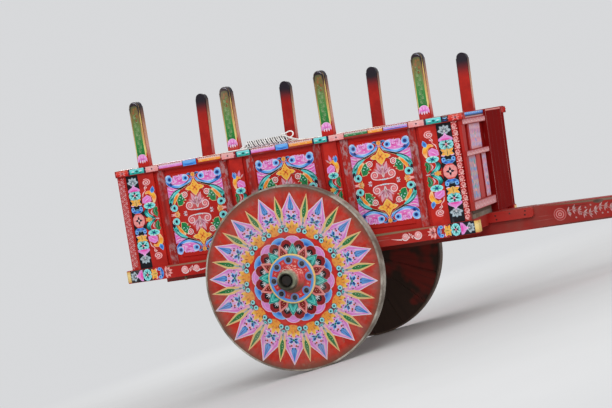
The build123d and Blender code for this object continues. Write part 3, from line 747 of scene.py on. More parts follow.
def curve(points, steps):
    """A smooth line through points, with so many steps between neighbours."""
    if len(points) < 3:
        (x0, y0), (x1, y1) = points
        return [(x0 + (x1 - x0) * i / steps, y0 + (y1 - y0) * i / steps) for i in range(steps + 1)]
    ends = [points[0], *points, points[-1]]
    line = []
    for a, b, c, d in zip(ends, ends[1:], ends[2:], ends[3:]):
        for i in range(steps):
            line.append(tuple(between(i / steps, *parts) for parts in zip(a, b, c, d)))
    return line + [points[-1]]


def between(t, p, q, r, s):
    """A value at a share of the way from q to r, on a smooth line that also meets p and s."""
    return 0.5 * (2 * q + (r - p) * t + (2 * p - 5 * q + 4 * r - s) * t * t + (3 * q - p - 3 * r + s) * t**3)


def spiral(radius, turns, start, tight=0.15):
    """Points of a spiral that winds inward from its radius."""
    count = max(6, int(turns * 10))
    line = []
    for i in range(count + 1):
        share = i / count
        r = radius * (1 - share * (1 - tight))
        angle = radians(start + 360 * turns * share)
        line.append((r * cos(angle), r * sin(angle)))
    return line


def leaf_outline(length, width, belly):
    """A pointed leaf from the origin up along +Y, widest at a share of its length."""
    count = 7
    power = log(0.5) / log(belly)
    side = [(width / 2 * sin(pi * (i / count) ** power), length * i / count) for i in range(count + 1)]
    return side + [(-x, y) for x, y in reversed(side[1:-1])]


def round_outline(rx, ry, count, lobes=0, depth=0.0):
    """A circle or oval, scalloped where lobes are given."""
    points = []
    for i in range(count):
        angle = 2 * pi * i / count
        k = 1 - depth * (0.5 + 0.5 * cos(lobes * angle)) if lobes else 1.0
        points.append((rx * k * cos(angle), ry * k * sin(angle)))
    return points


class Pen:
    """Draws flat shapes on a plane, in its own millimetres, and hands them to a sheet."""

    def __init__(self, sheet, origin, across, up, outward, turn=None):
        self.sheet, self.origin, self.across, self.up, self.outward = sheet, origin, across, up, outward
        self.turn = turn or Matrix.Identity(3)

    def at(self, x=0.0, y=0.0, angle=0.0, sx=1.0, sy=None):
        """The same pen moved, turned and scaled. A negative scale mirrors it."""
        sy = abs(sx) if sy is None else sy
        c, s = cos(radians(angle)), sin(radians(angle))
        return self.turned(Matrix(((c * sx, -s * sy, x), (s * sx, c * sy, y), (0, 0, 1))))

    def pointed(self, tip, foot, reach):
        """The same pen sheared and stretched over its foot line. What was at (0, reach) comes to the tip."""
        tall = (tip[1] - foot) / (reach - foot)
        slant = tip[0] / (reach - foot)
        return self.turned(Matrix(((1, slant, -slant * foot), (0, tall, foot * (1 - tall)), (0, 0, 1))))

    def turned(self, step):
        return Pen(self.sheet, self.origin, self.across, self.up, self.outward, self.turn @ step)

    def add(self, points, layer, colours, faces):
        first = len(self.sheet.points)
        height = LIFT + LAYER * layer
        for x, y in points:
            place = self.turn @ Vector((x, y, 1))
            place = self.origin + self.across * place.x + self.up * place.y + self.outward * height
            self.sheet.points.append(place)
        self.sheet.colours += colours
        flip = (self.across.cross(self.up).dot(self.outward) < 0) != (self.turn.determinant() < 0)
        for face in faces:
            face = [first + i for i in face]
            self.sheet.faces.append(face[::-1] if flip else face)

    def shape(self, points, edge, middle=None, layer=1, rim=None, core=None):
        """A filled shape whose colour runs from its edge to its middle, over a rim of another colour."""
        n = len(points)
        cx, cy = core or (sum(x for x, _ in points) / n, sum(y for _, y in points) / n)
        if rim:
            reach = sum(hypot(x - cx, y - cy) for x, y in points) / n
            k = 1 + rim[1] / reach
            wider = [(cx + (x - cx) * k, cy + (y - cy) * k) for x, y in points]
            self.shape(wider, rim[0], layer=layer - 0.5, core=(cx, cy))
        faces = [(i, (i + 1) % n, n) for i in range(n)]
        self.add([*points, (cx, cy)], layer, [edge] * n + [middle or edge], faces)

    def line(self, points, widths, colours, layer=1, steps=3, rim=None):
        """A brush stroke through points, whose width and colour change along it."""
        if not isinstance(widths, (list, tuple)):
            widths = [widths, widths]
        if not isinstance(colours, list):
            colours = [colours, colours]
        if rim:
            wide = [w + 2 * rim[1] if w > 0.5 else rim[1] for w in widths]
            self.line(points, wide, rim[0], layer - 0.5, steps)
        path = curve(points, steps)
        n = len(path)
        left, right, shades = [], [], []
        for i, (x, y) in enumerate(path):
            (x0, y0), (x1, y1) = path[max(i - 1, 0)], path[min(i + 1, n - 1)]
            length = hypot(x1 - x0, y1 - y0) or 1.0
            half = along(widths, i / (n - 1)) / 2
            dx, dy = -(y1 - y0) / length * half, (x1 - x0) / length * half
            left.append((x + dx, y + dy))
            right.append((x - dx, y - dy))
            shades.append(along(colours, i / (n - 1)))
        faces = [(i + 1, i, n + i, n + i + 1) for i in range(n - 1)]
        self.add(left + right, layer, shades + shades, faces)

    def hair(self, points, width, colour, layer):
        """A stroke that swells from a thin start and thins out again."""
        self.line(points, [1, width, 1], colour, layer)

    def oval(self, x, y, rx, ry, edge, middle=None, layer=1, rim=None, count=14):
        self.shape([(x + px, y + py) for px, py in round_outline(rx, ry, count)], edge, middle, layer, rim)

    def disc(self, x, y, radius, edge, middle=None, layer=1, rim=None, count=12):
        self.at(x, y).oval(0, 0, radius, radius, edge, middle, layer, rim, count)

    def leaf(self, x, y, angle, length, width, edge, middle=None, layer=1, rim=None, belly=0.42):
        """A pointed leaf that starts at a place and points along an angle, with 0 up."""
        self.at(x, y, -angle).shape(leaf_outline(length, width, belly), edge, middle, layer, rim)

    def leaves(self, places, *size_and_paint, **more):
        """Leaves of one kind, each at a place and an angle."""
        for x, y, turn in places:
            self.leaf(x, y, turn, *size_and_paint, **more)

    def fan(self, x, y, turns, *size_and_paint, **more):
        """Leaves of one kind that start at one place."""
        self.leaves([(x, y, turn) for turn in turns], *size_and_paint, **more)

    def dots(self, places, *size_and_paint, **more):
        for x, y in places:
            self.disc(x, y, *size_and_paint, **more)

    def ring(self, inner, outer, inside, outside, layer):
        count = 64
        points, colours = [], []
        for i in range(count):
            c, s = cos(2 * pi * i / count), sin(2 * pi * i / count)
            points += [(inner * c, inner * s), (outer * c, outer * s)]
            colours += [inside, outside]
        n = 2 * count
        faces = [(i, i + 1, (i + 3) % n, (i + 2) % n) for i in range(0, n, 2)]
        self.add(points, layer, colours, faces)

    def block(self, x, y, colours, layer=1):
        """A filled rectangle, with a colour for its low, middle and high edge."""
        (x0, x1), (y0, y1) = x, y
        n = len(colours)
        points = [(px, y0 + (y1 - y0) * i / (n - 1)) for i in range(n) for px in (x0, x1)]
        faces = [(2 * i, 2 * i + 1, 2 * i + 3, 2 * i + 2) for i in range(n - 1)]
        self.add(points, layer, [colour for colour in colours for _ in (0, 1)], faces)


def mirrored(pen, draw):
    """Draws in the quarter x > 0, y > 0 and again mirrored over both axes."""
    for sx in (1, -1):
        for sy in (1, -1):
            draw(pen.at(sx=sx, sy=sy))


# Motifs


def eye(pen, x, y, radius, layer, ball=TEAL, pale=PALE_TEAL, core=NAVY):
    """A round bead with a pale edge and a dark centre."""
    pen.disc(x, y, radius, pale, ball, layer)
    pen.disc(x + radius * 0.1, y, radius * 0.42, core, layer=layer + 1, count=8)


def rose(pen, x, y, radius):
    """A small pink spiral rose."""
    pen.disc(x, y, radius * 0.95, rgb(176, 44, 48), rgb(206, 96, 96), 3)
    pen.at(x, y).line(spiral(radius, 1.9, 60), [radius * 0.26, radius * 0.16], [ROSE, WHITE], 4, steps=1)


petal_foot = 290
# Where the wheel's petals end, sideways from their own middle line and out from the hub, as painted by hand
kite_tips = [
    (-9.7, 489.2), (3.2, 488.1), (-4.4, 486.3), (-12.8, 488.1),
    (-16.1, 480.4), (-15.0, 481.1), (-28.8, 483.3), (-19.8, 491.8),
    (-19.5, 495.2), (-4.3, 502.7), (-4.4, 499.6), (-9.7, 499.6),
    (-5.6, 479.3), (-12.7, 480.5), (-20.8, 481.4), (-10.9, 486.6),
]
spear_tips = [
    (-8.0, 487.1), (-10.0, 485.2), (-4.9, 493.3), (-11.6, 485.9),
    (-12.8, 469.9), (-24.4, 466.7), (-24.9, 484.1), (-15.1, 489.3),
    (-6.6, 494.7), (-8.8, 493.6), (-5.1, 493.6), (-12.7, 475.8),
    (-7.6, 467.8), (-8.2, 476.6), (-14.5, 477.0), (-6.9, 481.3),
]
petal_dots = [
    (9, 368, WHITE), (24, 384, NAVY), (27, 318, NAVY), (38, 334, WHITE),
    (44, 352, NAVY), (13, 326, rgb(196, 30, 50)), (24, 368, WHITE), (10, 398, NAVY),
]


def both_ways(points):
    """A closed outline from its right-hand half."""
    return points + [(-x, y) for x, y in reversed(points) if x > 0.01]


def kite(pen, tip):
    """A wheel's large pink petal with its blue spear, dots, wings and orange tulip, seen from the hub."""
    pen = pen.pointed(tip, petal_foot, 488)
    body = both_ways([(0, 488), (30, 428), (56, 380), (56, 352), (45, 322), (30, 292)])
    pen.shape(body, LILAC, PALE_LILAC, 1, rim=(WHITE, 4.6), core=(0, 364))
    for side in (1, -1):
        pen.hair([(side * 30, 414), (side * 45, 376), (side * 42, 336)], 6, rgb(214, 112, 186), 2)
        pen.hair([(side * 14, 440), (side * 24, 410), (side * 27, 396)], 4, WHITE, 2)
        pen.hair([(side * 50, 362), (side * 40, 330)], 5, rgb(238, 196, 220), 2)
    spear_shape = both_ways([(0, 481), (10, 440), (18, 408), (11, 392)])
    pen.shape(spear_shape, rgb(70, 128, 204), rgb(116, 170, 224), 3, rim=(WHITE, 2.6), core=(2, 414))
    pen.line([(0, 470), (1, 402)], [0.5, 5.5, 2], [rgb(60, 110, 190), rgb(44, 84, 150)], 4)
    for side in (1, -1):
        pen.disc(side * 14, 381, 6.4, rgb(196, 30, 50), rgb(160, 16, 36), 3, rim=(WHITE, 2.0), count=8)
        pen.leaf(side * 3, 348, side * 54, 37, 21, BLUE, PALE_BLUE, 3, rim=(WHITE, 2.2))
        pen.leaf(side * 4, 351, side * 56, 25, 11, NAVY, DARK_BLUE, 4)
        pen.leaf(side * 4, 343, side * 104, 36, 16, PALE_BLUE, WHITE, 3, rim=(WHITE, 1.6))
        pen.leaf(side * 4, 343, side * 104, 24, 9, NAVY, DARK_BLUE, layer=4)
        pen.disc(side * 35, 367, 3.6, rgb(196, 40, 60), layer=4, count=6)
        for x, y, tint in petal_dots:
            pen.disc(side * x, y, 4.4, tint, layer=5, count=6)
    pen.disc(0, 347, 6.4, rgb(40, 130, 100), DARK_GREEN, 5, rim=(PALE_TEAL, 1.4), count=8)
    for angle, length, width in ((0, 72, 26), (31, 68, 24), (-31, 68, 24), (59, 57, 23), (-59, 57, 23)):
        pen.leaf(0, 262, angle, length, width, rgb(238, 196, 92), ORANGE, 3, rim=(CREAM, 2.2), belly=0.6)
    pen.oval(0, 271, 35, 16, rgb(226, 140, 56), rgb(240, 172, 74), 4)
    for angle in (-46, -18, 12, 38):
        pen.leaf(0, 258, angle, 50, 5, rgb(218, 96, 44), YELLOW, 5)
    pen.dots(((-17, 292), (6, 304), (24, 286)), 3.4, rgb(226, 120, 120), layer=6, count=6)


def spear(pen, tip):
    """A wheel's narrow cream petal with its green spear, stem and two beads."""
    ground = both_ways([(0, 356), (25, 354), (29, 322), (20, 294)])
    pen.shape(ground, rgb(222, 160, 184), rgb(232, 188, 196), 0.9, core=(0, 326))
    upper = pen.pointed(tip, petal_foot, 482)
    outline = both_ways([(0, 482), (12, 440), (23, 394), (20, 358), (8, 326)])
    upper.shape(outline, TAN, CREAM, 2, rim=(rgb(236, 206, 160), 2.6), core=(0, 388))
    green = both_ways([(0, 468), (8, 424), (13, 390), (8, 362), (0, 350)])
    upper.shape(green, GREEN, rgb(62, 138, 70), 3, rim=(CREAM, 1.2), core=(3, 388))
    upper.line([(0, 458), (0, 360)], [0.5, 4.5, 2], DARK_GREEN, 4)
    for y in (374, 390, 406):
        upper.disc(-2.5, y, 2.0, WHITE, layer=5, count=6)
    upper.line([(0, 352), (0, 320), (0, 292)], [9, 7, 5], [rgb(166, 182, 190), rgb(104, 114, 124)], 4)
    pen.disc(0, 324, 7, GREY, NAVY, 5, count=8)
    eye(pen, 0, 302, 8, 5.2)
    for side in (1, -1):
        pen.leaf(0, 292, side * 58, 25, 12, rgb(110, 112, 136), NAVY, 3)
        pen.disc(side * 18, 279, 16, NAVY, NAVY, 4.3)
        pen.disc(side * 18, 279, 13.6, rgb(220, 232, 230), rgb(220, 232, 230), 4.6)
        eye(pen, side * 18, 279, 12, 5)
        pen.disc(side * 9, 301, 6.6, GREY, NAVY, 5, count=8)
    pen.leaf(0, 266, 0, 26, 7, NAVY, rgb(70, 74, 90), 4)


def petal_pens(pen, shift=0):
    """A pen turned to each of the wheel's petals, or shifted by a share of a petal."""
    return [pen.at(angle=wheel_phase + 22.5 * (k + shift) - 90) for k in range(16)]


def rosette(pen):
    """The wheel's inner flower, ring by ring out from the hub plate."""
    pen.ring(130, 246, MAROON, rgb(190, 40, 34), 1)
    for k, petal in enumerate(petal_pens(pen)):
        if k % 2:
            petal.oval(0, 212, 47, 30, rgb(112, 172, 232), rgb(58, 118, 206), 2,
                       rim=(rgb(176, 208, 240), 2.4))
            petal.oval(0, 213, 24, 14, BLUE, DARK_BLUE, 3.2, count=10)
    for petal in petal_pens(pen)[::2]:
        petal.oval(0, 213, 44, 31, LILAC, rgb(206, 128, 192), 4, rim=(WHITE, 2.6))
        petal.hair([(-24, 222), (0, 233), (24, 222)], 4, PALE_LILAC, 5)
    for flame in petal_pens(pen, 0.5):
        flame.shape(both_ways([(0, 226), (20, 218), (33, 198), (30, 172), (12, 152)]), MAROON,
                    rgb(156, 26, 32), 6, rim=(rgb(232, 176, 166), 1.6), core=(0, 190))
        flame.shape(both_ways([(0, 204), (17, 194), (22, 172), (8, 154)]), BLACK, rgb(40, 14, 20), 7,
                    core=(0, 178))
        for angle, length in ((0, 34), (26, 28), (-26, 28), (50, 20), (-50, 20)):
            flame.leaf(0, 160, angle, length, 5.5, WHITE, rgb(190, 200, 214), 8)
    for k, point in enumerate(petal_pens(pen)):
        outline = both_ways([(0, 205), (15, 178), (32, 152), (26, 128)])
        if k % 2:
            point.shape(outline, SALMON, rgb(206, 90, 84), 9, rim=(rgb(240, 190, 170), 2.2), core=(0, 150))
            point.shape(both_ways([(0, 187), (18, 152), (14, 130)]), MAROON, DEEP_RED, 10, core=(0, 146))
            point.dots(((0, 170), (-6, 154), (6, 154), (0, 144)), 1.8, CREAM, layer=11, count=6)
        else:
            point.shape(outline, DARK_TEAL, TEAL, 9, rim=(PALE_TEAL, 2.2), core=(0, 158))
            point.line([(-21, 140), (0, 184), (21, 140)], [2, 5, 2], rgb(128, 218, 200), 10, steps=4)
            point.shape(both_ways([(0, 162), (10, 142), (9, 130)]), rgb(20, 96, 90), DARK_TEAL, 10,
                        core=(0, 146))


def paint_wheel(pen, plate):
    """All of the ornament of one wheel's outer face and of its hub plate."""
    pen.ring(246, 262, rgb(206, 36, 28), rgb(206, 36, 28), 0.5)
    pattern = pen.at(2, -5)
    places = zip(petal_pens(pattern, 0.5), spear_tips, petal_pens(pattern), kite_tips)
    for gap, spear_tip, petal, kite_tip in places:
        spear(gap, spear_tip)
        kite(petal, kite_tip)
    rosette(pattern)
    plate.ring(79, 118, rgb(196, 40, 44), rgb(206, 48, 44), 0)
    plate.ring(116, 131, BLUE, rgb(94, 162, 232), 1)
    plate.ring(131, 136, rgb(236, 206, 140), YELLOW, 1)
    for k in range(8):
        bolt = plate.at(angle=wheel_phase + bolt_phase + 45 * k - 90)
        bolt.disc(0, bolt_circle_radius, 25, BLUE, layer=1.3, count=16)
        bolt.disc(0, bolt_circle_radius, 19.5, rgb(126, 146, 176), rgb(80, 92, 124), 2, count=16)
        star = plate.at(angle=wheel_phase + bolt_phase + 45 * (k + 0.5) - 90)
        star.shape(both_ways([(0, 114), (12, 111), (16, 96)]), rgb(214, 44, 38), rgb(206, 48, 44), 1.6)
        star.line([(-5, 92), (0, 104), (5, 92)], [1.5, 3, 1.5], rgb(236, 178, 166), 2.4)


def panel_quarter(pen):
    """A quarter of a side panel's ornament, in x from 0 to 178 and y from 0 to 232."""
    # lilac and magenta leaf work in the corner
    pen.shape([(40, 226), (70, 231), (96, 225), (120, 228), (146, 196), (120, 176), (80, 170), (40, 182)],
              LILAC, MAGENTA, 1, rim=(PALE_LILAC, 1.5), core=(88, 192))
    for x, y, turn in ((64, 204, -20), (86, 214, 8), (108, 206, 30), (126, 198, 54)):
        pen.leaf(x, y - 14, turn, 32, 17, PALE_LILAC, LILAC, 2, rim=(WHITE, 1.0))
        pen.hair([(x, y - 10), (x + 6 * sin(radians(turn)), y + 8)], 4, MAGENTA, 3)
    pen.shape([(176, 168), (177, 104), (154, 112), (122, 136), (92, 152), (120, 158)], LILAC, MAGENTA, 1,
              rim=(PALE_LILAC, 1.2), core=(150, 142))
    for y, low, tint in ((157, 146, WHITE), (147, 138, MAGENTA), (138, 131, PALE_LILAC), (128, 123, MAGENTA),
                         (117, 113, WHITE)):
        pen.line([(174, y), (150, low), (120 + (157 - y) * 0.6, low + 2)], [2, 5, 1], tint, 2)
    pen.leaves(((60, 190, 70), (84, 186, 100), (112, 190, 80), (96, 222, 60), (122, 214, 20)), 15, 5, WHITE,
               PALE_LILAC, 3)
    pen.leaves(((74, 198, 80), (108, 206, 40), (130, 182, 120), (90, 216, 100)), 18, 4, rgb(150, 30, 90),
               MAGENTA, 3)
    # blue band with a ball at each end
    band = [(174, 208), (170, 192), (154, 176), (114, 163), (72, 165), (40, 177), (20, 191), (12, 202)]
    blues = [PALE_BLUE, BLUE, DARK_BLUE, BLUE, PALE_BLUE, BLUE, PALE_BLUE, BLUE, BLUE]
    pen.line(band, [5, 13, 17, 17, 16, 14, 11, 4], blues, 3, rim=(rgb(196, 206, 240), 1.8))
    pen.line([(150, 166), (112, 153), (74, 155), (40, 170)], [1, 6, 7, 1], BLACK, 4)
    pen.hair([(132, 174), (104, 169), (80, 170)], 5, rgb(190, 220, 246), 4)
    pen.hair([(66, 173), (44, 182), (26, 193)], 6, [DARK_BLUE, NAVY], 4)
    pen.disc(148, 180, 9.5, DARK_BLUE, NAVY, 5, count=8)
    ball = pen.at(154, 211)
    ball.oval(0, 0, 19, 19, PALE_BLUE, BLUE, 4, rim=(rgb(214, 224, 246), 2.0))
    ball.disc(-1, -1, 11, DARK_BLUE, NAVY, 5, count=10)
    ball.line([(22, -4), (20, 14), (6, 23), (-14, 20)], [3, 7, 6, 2], [BLUE, rgb(190, 220, 246), BLUE], 6)
    ball = pen.at(50, 206)
    ball.oval(0, 0, 19, 16, PALE_BLUE, BLUE, 4, rim=(rgb(214, 224, 246), 2.0))
    ball.disc(-2, 0, 9, DARK_BLUE, NAVY, 5, count=10)
    ball.line([(-8, 20), (10, 20), (22, 10)], [2, 6, 2], rgb(190, 220, 246), 6)
    arm = [(38, 226), (22, 227), (11, 216), (13, 202), (26, 194)]
    pen.line(arm, [5, 11, 12, 8, 3], [BLUE, NAVY, DARK_BLUE, BLUE], 4, rim=(PALE_BLUE, 1.4))
    # long teal leaf of the wreath, with a black back, root and tip
    pen.line([(16, 181), (52, 163), (92, 148), (120, 137)], [2, 8, 11, 8], [DARK_TEAL, BLACK, BLACK, NAVY], 5,
             rim=(CREAM, 1.0))
    back = [(100, 146), (132, 132), (160, 106), (176, 74), (178, 48)]
    pen.line(back, [5, 12, 14, 14, 5], [BLACK, BLACK, NAVY, BLACK, BLACK], 5.4, rim=(PALE_TEAL, 1.2))
    leaf = [(96, 141), (128, 124), (154, 100), (168, 74), (170, 46)]
    pen.line(leaf, [3, 14, 20, 20, 5], [TEAL, TEAL, DARK_TEAL, TEAL, BLACK], 6, rim=(PALE_TEAL, 1.6))
    pen.hair([(124, 132), (152, 108), (166, 82)], 6, PALE_TEAL, 7)
    pen.leaf(144, 106, 132, 40, 8, DARK_TEAL, NAVY, 7)
    pen.leaf(171, 78, 182, 36, 18, BLACK, NAVY, 7)
    eye(pen, 148, 40, 22, 7)
    pen.line([(168, 56), (174, 40), (164, 20)], [2, 5, 1], rgb(190, 236, 240), 8)
    # orange and green leaves inside it
    pen.line([(104, 124), (122, 106), (138, 84), (146, 62)], [3, 17, 16, 6], [CREAM, ORANGE, ORANGE, YELLOW],
             5, rim=(CREAM, 1.6))
    pen.line([(112, 118), (132, 88)], [1, 4, 2], rgb(226, 100, 50), 6)
    pen.shape([(76, 112), (96, 118), (112, 104), (124, 84), (120, 50), (96, 52), (84, 64), (88, 72), (72, 78),
               (80, 92), (68, 98)], GREEN, rgb(24, 130, 80), 4, rim=(CREAM, 2.0), core=(98, 82))
    pen.leaves(((76, 112, -60), (88, 118, -10), (104, 112, 30), (68, 98, -90), (72, 80, -110),
                (84, 66, -130)), 8, 6, CREAM, WHITE, 4)
    pen.line([(84, 102), (100, 82), (114, 58)], [2, 5, 1], [DARK_GREEN, DARK_GREEN], 5)
    pen.leaves(((94, 94, 62), (102, 80, 70), (90, 82, -20)), 16, 4, PALE_TEAL, WHITE, 6)
    # roses
    heart = rgb(176, 36, 44)
    pen.disc(70, 110, 18, WHITE, rgb(240, 180, 180), 7, count=14)
    pen.disc(70, 110, 13.5, heart, heart, 8)
    pen.disc(70, 110, 9.5, ROSE, WHITE, 9, count=10)
    pen.disc(70, 110, 3.5, heart, layer=10, count=6)
    pen.line([(54, 122), (44, 132), (62, 140)], [2, 6, 2], ROSE, 6)
    pen.disc(46, 130, 5, MAROON, NAVY, 6, count=8)
    # palmette: one stroke from the middle round into its curl, with a plume between the two
    ground = [(0, 16), (22, 13), (52, 17), (73, 34), (75, 52), (62, 68), (46, 86), (30, 108), (12, 116),
              (0, 118)]
    pen.shape(ground, rgb(196, 60, 62), rgb(196, 88, 96), 3.6, core=(16, 60))
    curl = [(49 + x, 43 + y) for x, y in spiral(25, 1.8, -90, 0.1)]
    pen.disc(49, 43, 24, rgb(196, 84, 90), rgb(206, 116, 124), 4)
    pen.line([(2, 18), (16, 14), (32, 15), *curl], [3, 5, 6, 5, 4.5, 4.5, 4.5, 4, 3],
             [WHITE, rgb(232, 190, 196), WHITE, ROSE, ROSE], 6, steps=2)
    pen.line([(0, 13), (14, 14), (26, 20)], [6, 6, 1.5], [rgb(160, 200, 216), WHITE], 7)
    pen.line([(2, 26), (6, 52), (5, 80), (1, 102)], [4, 6, 6, 2],
             [rgb(200, 206, 206), WHITE, rgb(214, 170, 190)], 5)
    for x, y, turn, size, width in ((10, 48, 52, 44, 15), (5, 42, 20, 74, 24), (0, 84, 2, 36, 10)):
        pen.leaf(x, y, turn, size, width, rgb(214, 140, 160), rgb(206, 172, 190), 5, rim=(WHITE, 1.4))
        pen.leaf(x + 2, y + 8, turn, size * 0.6, 4, rgb(150, 40, 60), layer=6)
    # side sprig and the wreath's waist
    for turn, length in ((90, 24), (52, 22), (14, 17)):
        pen.leaf(76, 0, turn, length, 9, rgb(214, 186, 206), WHITE, 5)
    pen.disc(77, 0, 6, ROSE, rgb(190, 60, 80), 7, count=8)
    pen.line([(132, 2), (128, 22)], [3, 7, 2], [CREAM, YELLOW], 5)
    pen.line([(120, 3), (140, 8), (158, 4)], [3, 13, 2], [TAN, ORANGE, CREAM], 5, rim=(CREAM, 1.4))
    pen.leaf(146, 2, 86, 36, 8, ROSE, rgb(246, 190, 190), 6)
    pen.disc(140, 4, 3, rgb(190, 70, 50), layer=6, count=6)


def panel_flower(pen):
    """The orange flower at the middle of a panel's top, with its bud."""
    star = both_ways([(0, 197), (12, 174), (24, 158), (40, 155), (57, 144), (42, 132), (28, 132), (18, 116),
                      (0, 98)])
    pen.shape(star, YELLOW, rgb(230, 116, 50), 8, rim=(CREAM, 2.0), core=(0, 144))
    pen.fan(0, 144, (0, 90, 180, -90), 38, 12, rgb(240, 160, 66), YELLOW, 9)
    pen.fan(0, 144, (45, 135, -135, -45), 22, 7, rgb(200, 70, 34), ORANGE, 9)
    pen.dots(((-9, 166), (8, 128), (30, 145), (-30, 142), (3, 180)), 3.6, rgb(214, 84, 50), layer=10, count=6)
    pen.disc(0, 144, 5, rgb(180, 60, 40), layer=10, count=8)
    pen.disc(0, 220, 12, rgb(226, 130, 60), YELLOW, 7, rim=(CREAM, 1.4))
    pen.line([(-15, 206), (0, 201), (15, 206)], [2, 6, 2], [ROSE, ROSE], 8)
    pen.leaf(0, 212, 0, 18, 4, rgb(200, 70, 50), layer=8)


def paint_panel(pen):
    """The whole ornament of a panel, about its middle."""
    mirrored(pen, panel_quarter)
    for side in (1, -1):
        panel_flower(pen.at(sx=1, sy=side))


def post_half_motif(pen, crowned):
    """The upper half of a post's ornament, with x from -30 to 30 and y from 0 up to 235."""
    if crowned:
        rose(pen, 2, 216, 21)
        pen.line([(6, 196), (14, 186), (12, 170), (24, 154), (28, 132)], [2, 5, 4, 5, 1],
                 [WHITE, ROSE, WHITE], 2)
        pen.leaf(10, 180, -40, 16, 6, ROSE, WHITE, 3)
    else:
        pen.leaf(4, 158, 12, 40, 16, rgb(206, 120, 130), LILAC, 3)
        pen.leaf(12, 152, 44, 30, 11, rgb(190, 90, 100), rgb(196, 170, 176), 3)
        pen.leaf(-6, 168, -26, 26, 8, rgb(150, 110, 150), PALE_BLUE, 3)
    pen.leaf(-18, 152, -12, 36, 17, BLUE, DARK_BLUE, 3, rim=(PALE_BLUE, 2))
    pen.line([(14, 150), (0, 158), (-17, 146), (-24, 122), (-20, 92)], [4, 15, 21, 18, 4],
             [TAN, ORANGE, YELLOW, ORANGE, CREAM], 2, rim=(CREAM, 1.4))
    pen.hair([(2, 150), (-14, 136), (-18, 118)], 4, rgb(214, 120, 40), 3)
    pen.shape([(-8, 128), (8, 140), (30, 124), (32, 100), (14, 92), (-8, 104)], LILAC, MAGENTA, 3,
              rim=(PALE_LILAC, 1.8), core=(12, 106))
    pen.hair([(-2, 124), (12, 116), (24, 102)], 6, PALE_LILAC, 4)
    pen.oval(3, 80, 26, 18, PALE_TEAL, TEAL, 4, rim=(rgb(190, 232, 232), 1.4))
    pen.fan(3, 80, range(20, 380, 60), 20, 6, DARK_TEAL, rgb(40, 160, 150), 5)
    pen.disc(3, 80, 6.5, NAVY, DARK_BLUE, 6, count=8)
    pen.hair([(-16, 90), (3, 96), (20, 89)], 4, WHITE, 5)
    pen.line([(16, 66), (29, 46), (24, 26), (6, 14), (-14, 8)], [10, 16, 20, 18, 4], BLACK, 2.6)
    pen.line([(18, 62), (24, 44), (17, 25), (0, 11), (-14, 2)], [10, 17, 18, 14, 3],
             [NAVY, DARK_TEAL, TEAL, DARK_TEAL, NAVY], 3, rim=(PALE_TEAL, 1.4))
    pen.hair([(24, 40), (16, 22), (2, 10)], 4, PALE_TEAL, 4)
    pen.shape([(-28, 68), (-14, 64), (-8, 44), (-13, 24), (-26, 10), (-31, 34), (-26, 44), (-32, 54)], GREEN,
              DARK_GREEN, 2, rim=(rgb(150, 170, 150), 1.2), core=(-20, 40))
    pen.hair([(-20, 60), (-16, 42), (-22, 22)], 3, rgb(120, 180, 150), 3)
    pen.line([(-8, 58), (0, 40), (-8, 22)], [2, 7, 2], [SALMON, rgb(214, 190, 200)], 2)


def paint_post(pen, side, scale, crowned):
    """A post's ornament: the half motif and its mirror, about an orange flower."""
    pen = pen.at(sx=side * scale, sy=1)
    for flip in (1, -1):
        post_half_motif(pen.at(sx=1, sy=flip), crowned or flip < 0)
    pen.fan(17, 0, range(0, 360, 60), 17, 11, TAN, ORANGE, 4)
    pen.disc(17, 0, 5, YELLOW, ORANGE, 5, count=8)
    pen.line([(-32, 3), (-16, 0), (-32, -3)], [3, 4, 3], [MAUVE, WHITE], 4)


def leaf_cluster(pen):
    """Grey-white leaves that fan out upward from the origin."""
    for turn, length in ((0, 34), (42, 38), (-42, 38), (84, 38), (-84, 38), (122, 22), (-122, 22)):
        pen.leaf(0, 0, turn, length, 19, GREY, rgb(206, 216, 220), 2, rim=(rgb(80, 100, 116), 1.2), belly=0.6)
        pen.leaf(0, 0, turn, length * 0.75, 4, rgb(58, 70, 86), layer=3)
    pen.disc(0, 0, 6, WHITE, GREY, 4, count=8)


def bud(pen, layer=3):
    """A pink bud on a broad magenta foot, pointing up."""
    pen.shape(both_ways([(0, 34), (10, 18), (22, 12), (38, 2), (40, -10)]), LILAC, rgb(232, 120, 196), layer,
              rim=(PALE_LILAC, 1.6), core=(0, -2))
    pen.oval(0, -3, 24, 6, MAGENTA, rgb(236, 70, 170), layer + 1)
    pen.hair([(-12, 12), (0, 26), (12, 12)], 4, rgb(240, 196, 232), layer + 1)


def bead_flower(pen):
    """A round teal flower with pale petal tips and a cross of dark seeds about its heart."""
    pen.shape(round_outline(41, 32, 28, 14, 0.06), PALE_TEAL, TEAL, 3, rim=(rgb(176, 228, 230), 1.2))
    flat = pen.at(sx=1, sy=0.8)
    for start, step, length, width, edge, middle, layer in (
        (0, 40, 36, 9, DARK_TEAL, TEAL, 4),
        (0, 90, 26, 12, NAVY, BLACK, 5),
        (45, 90, 31, 7, WHITE, PALE_TEAL, 5),
    ):
        flat.fan(0, 0, range(start, start + 360, step), length, width, edge, middle, layer)
    pen.disc(0, 0, 6, ROSE, MAGENTA, 6, count=8)


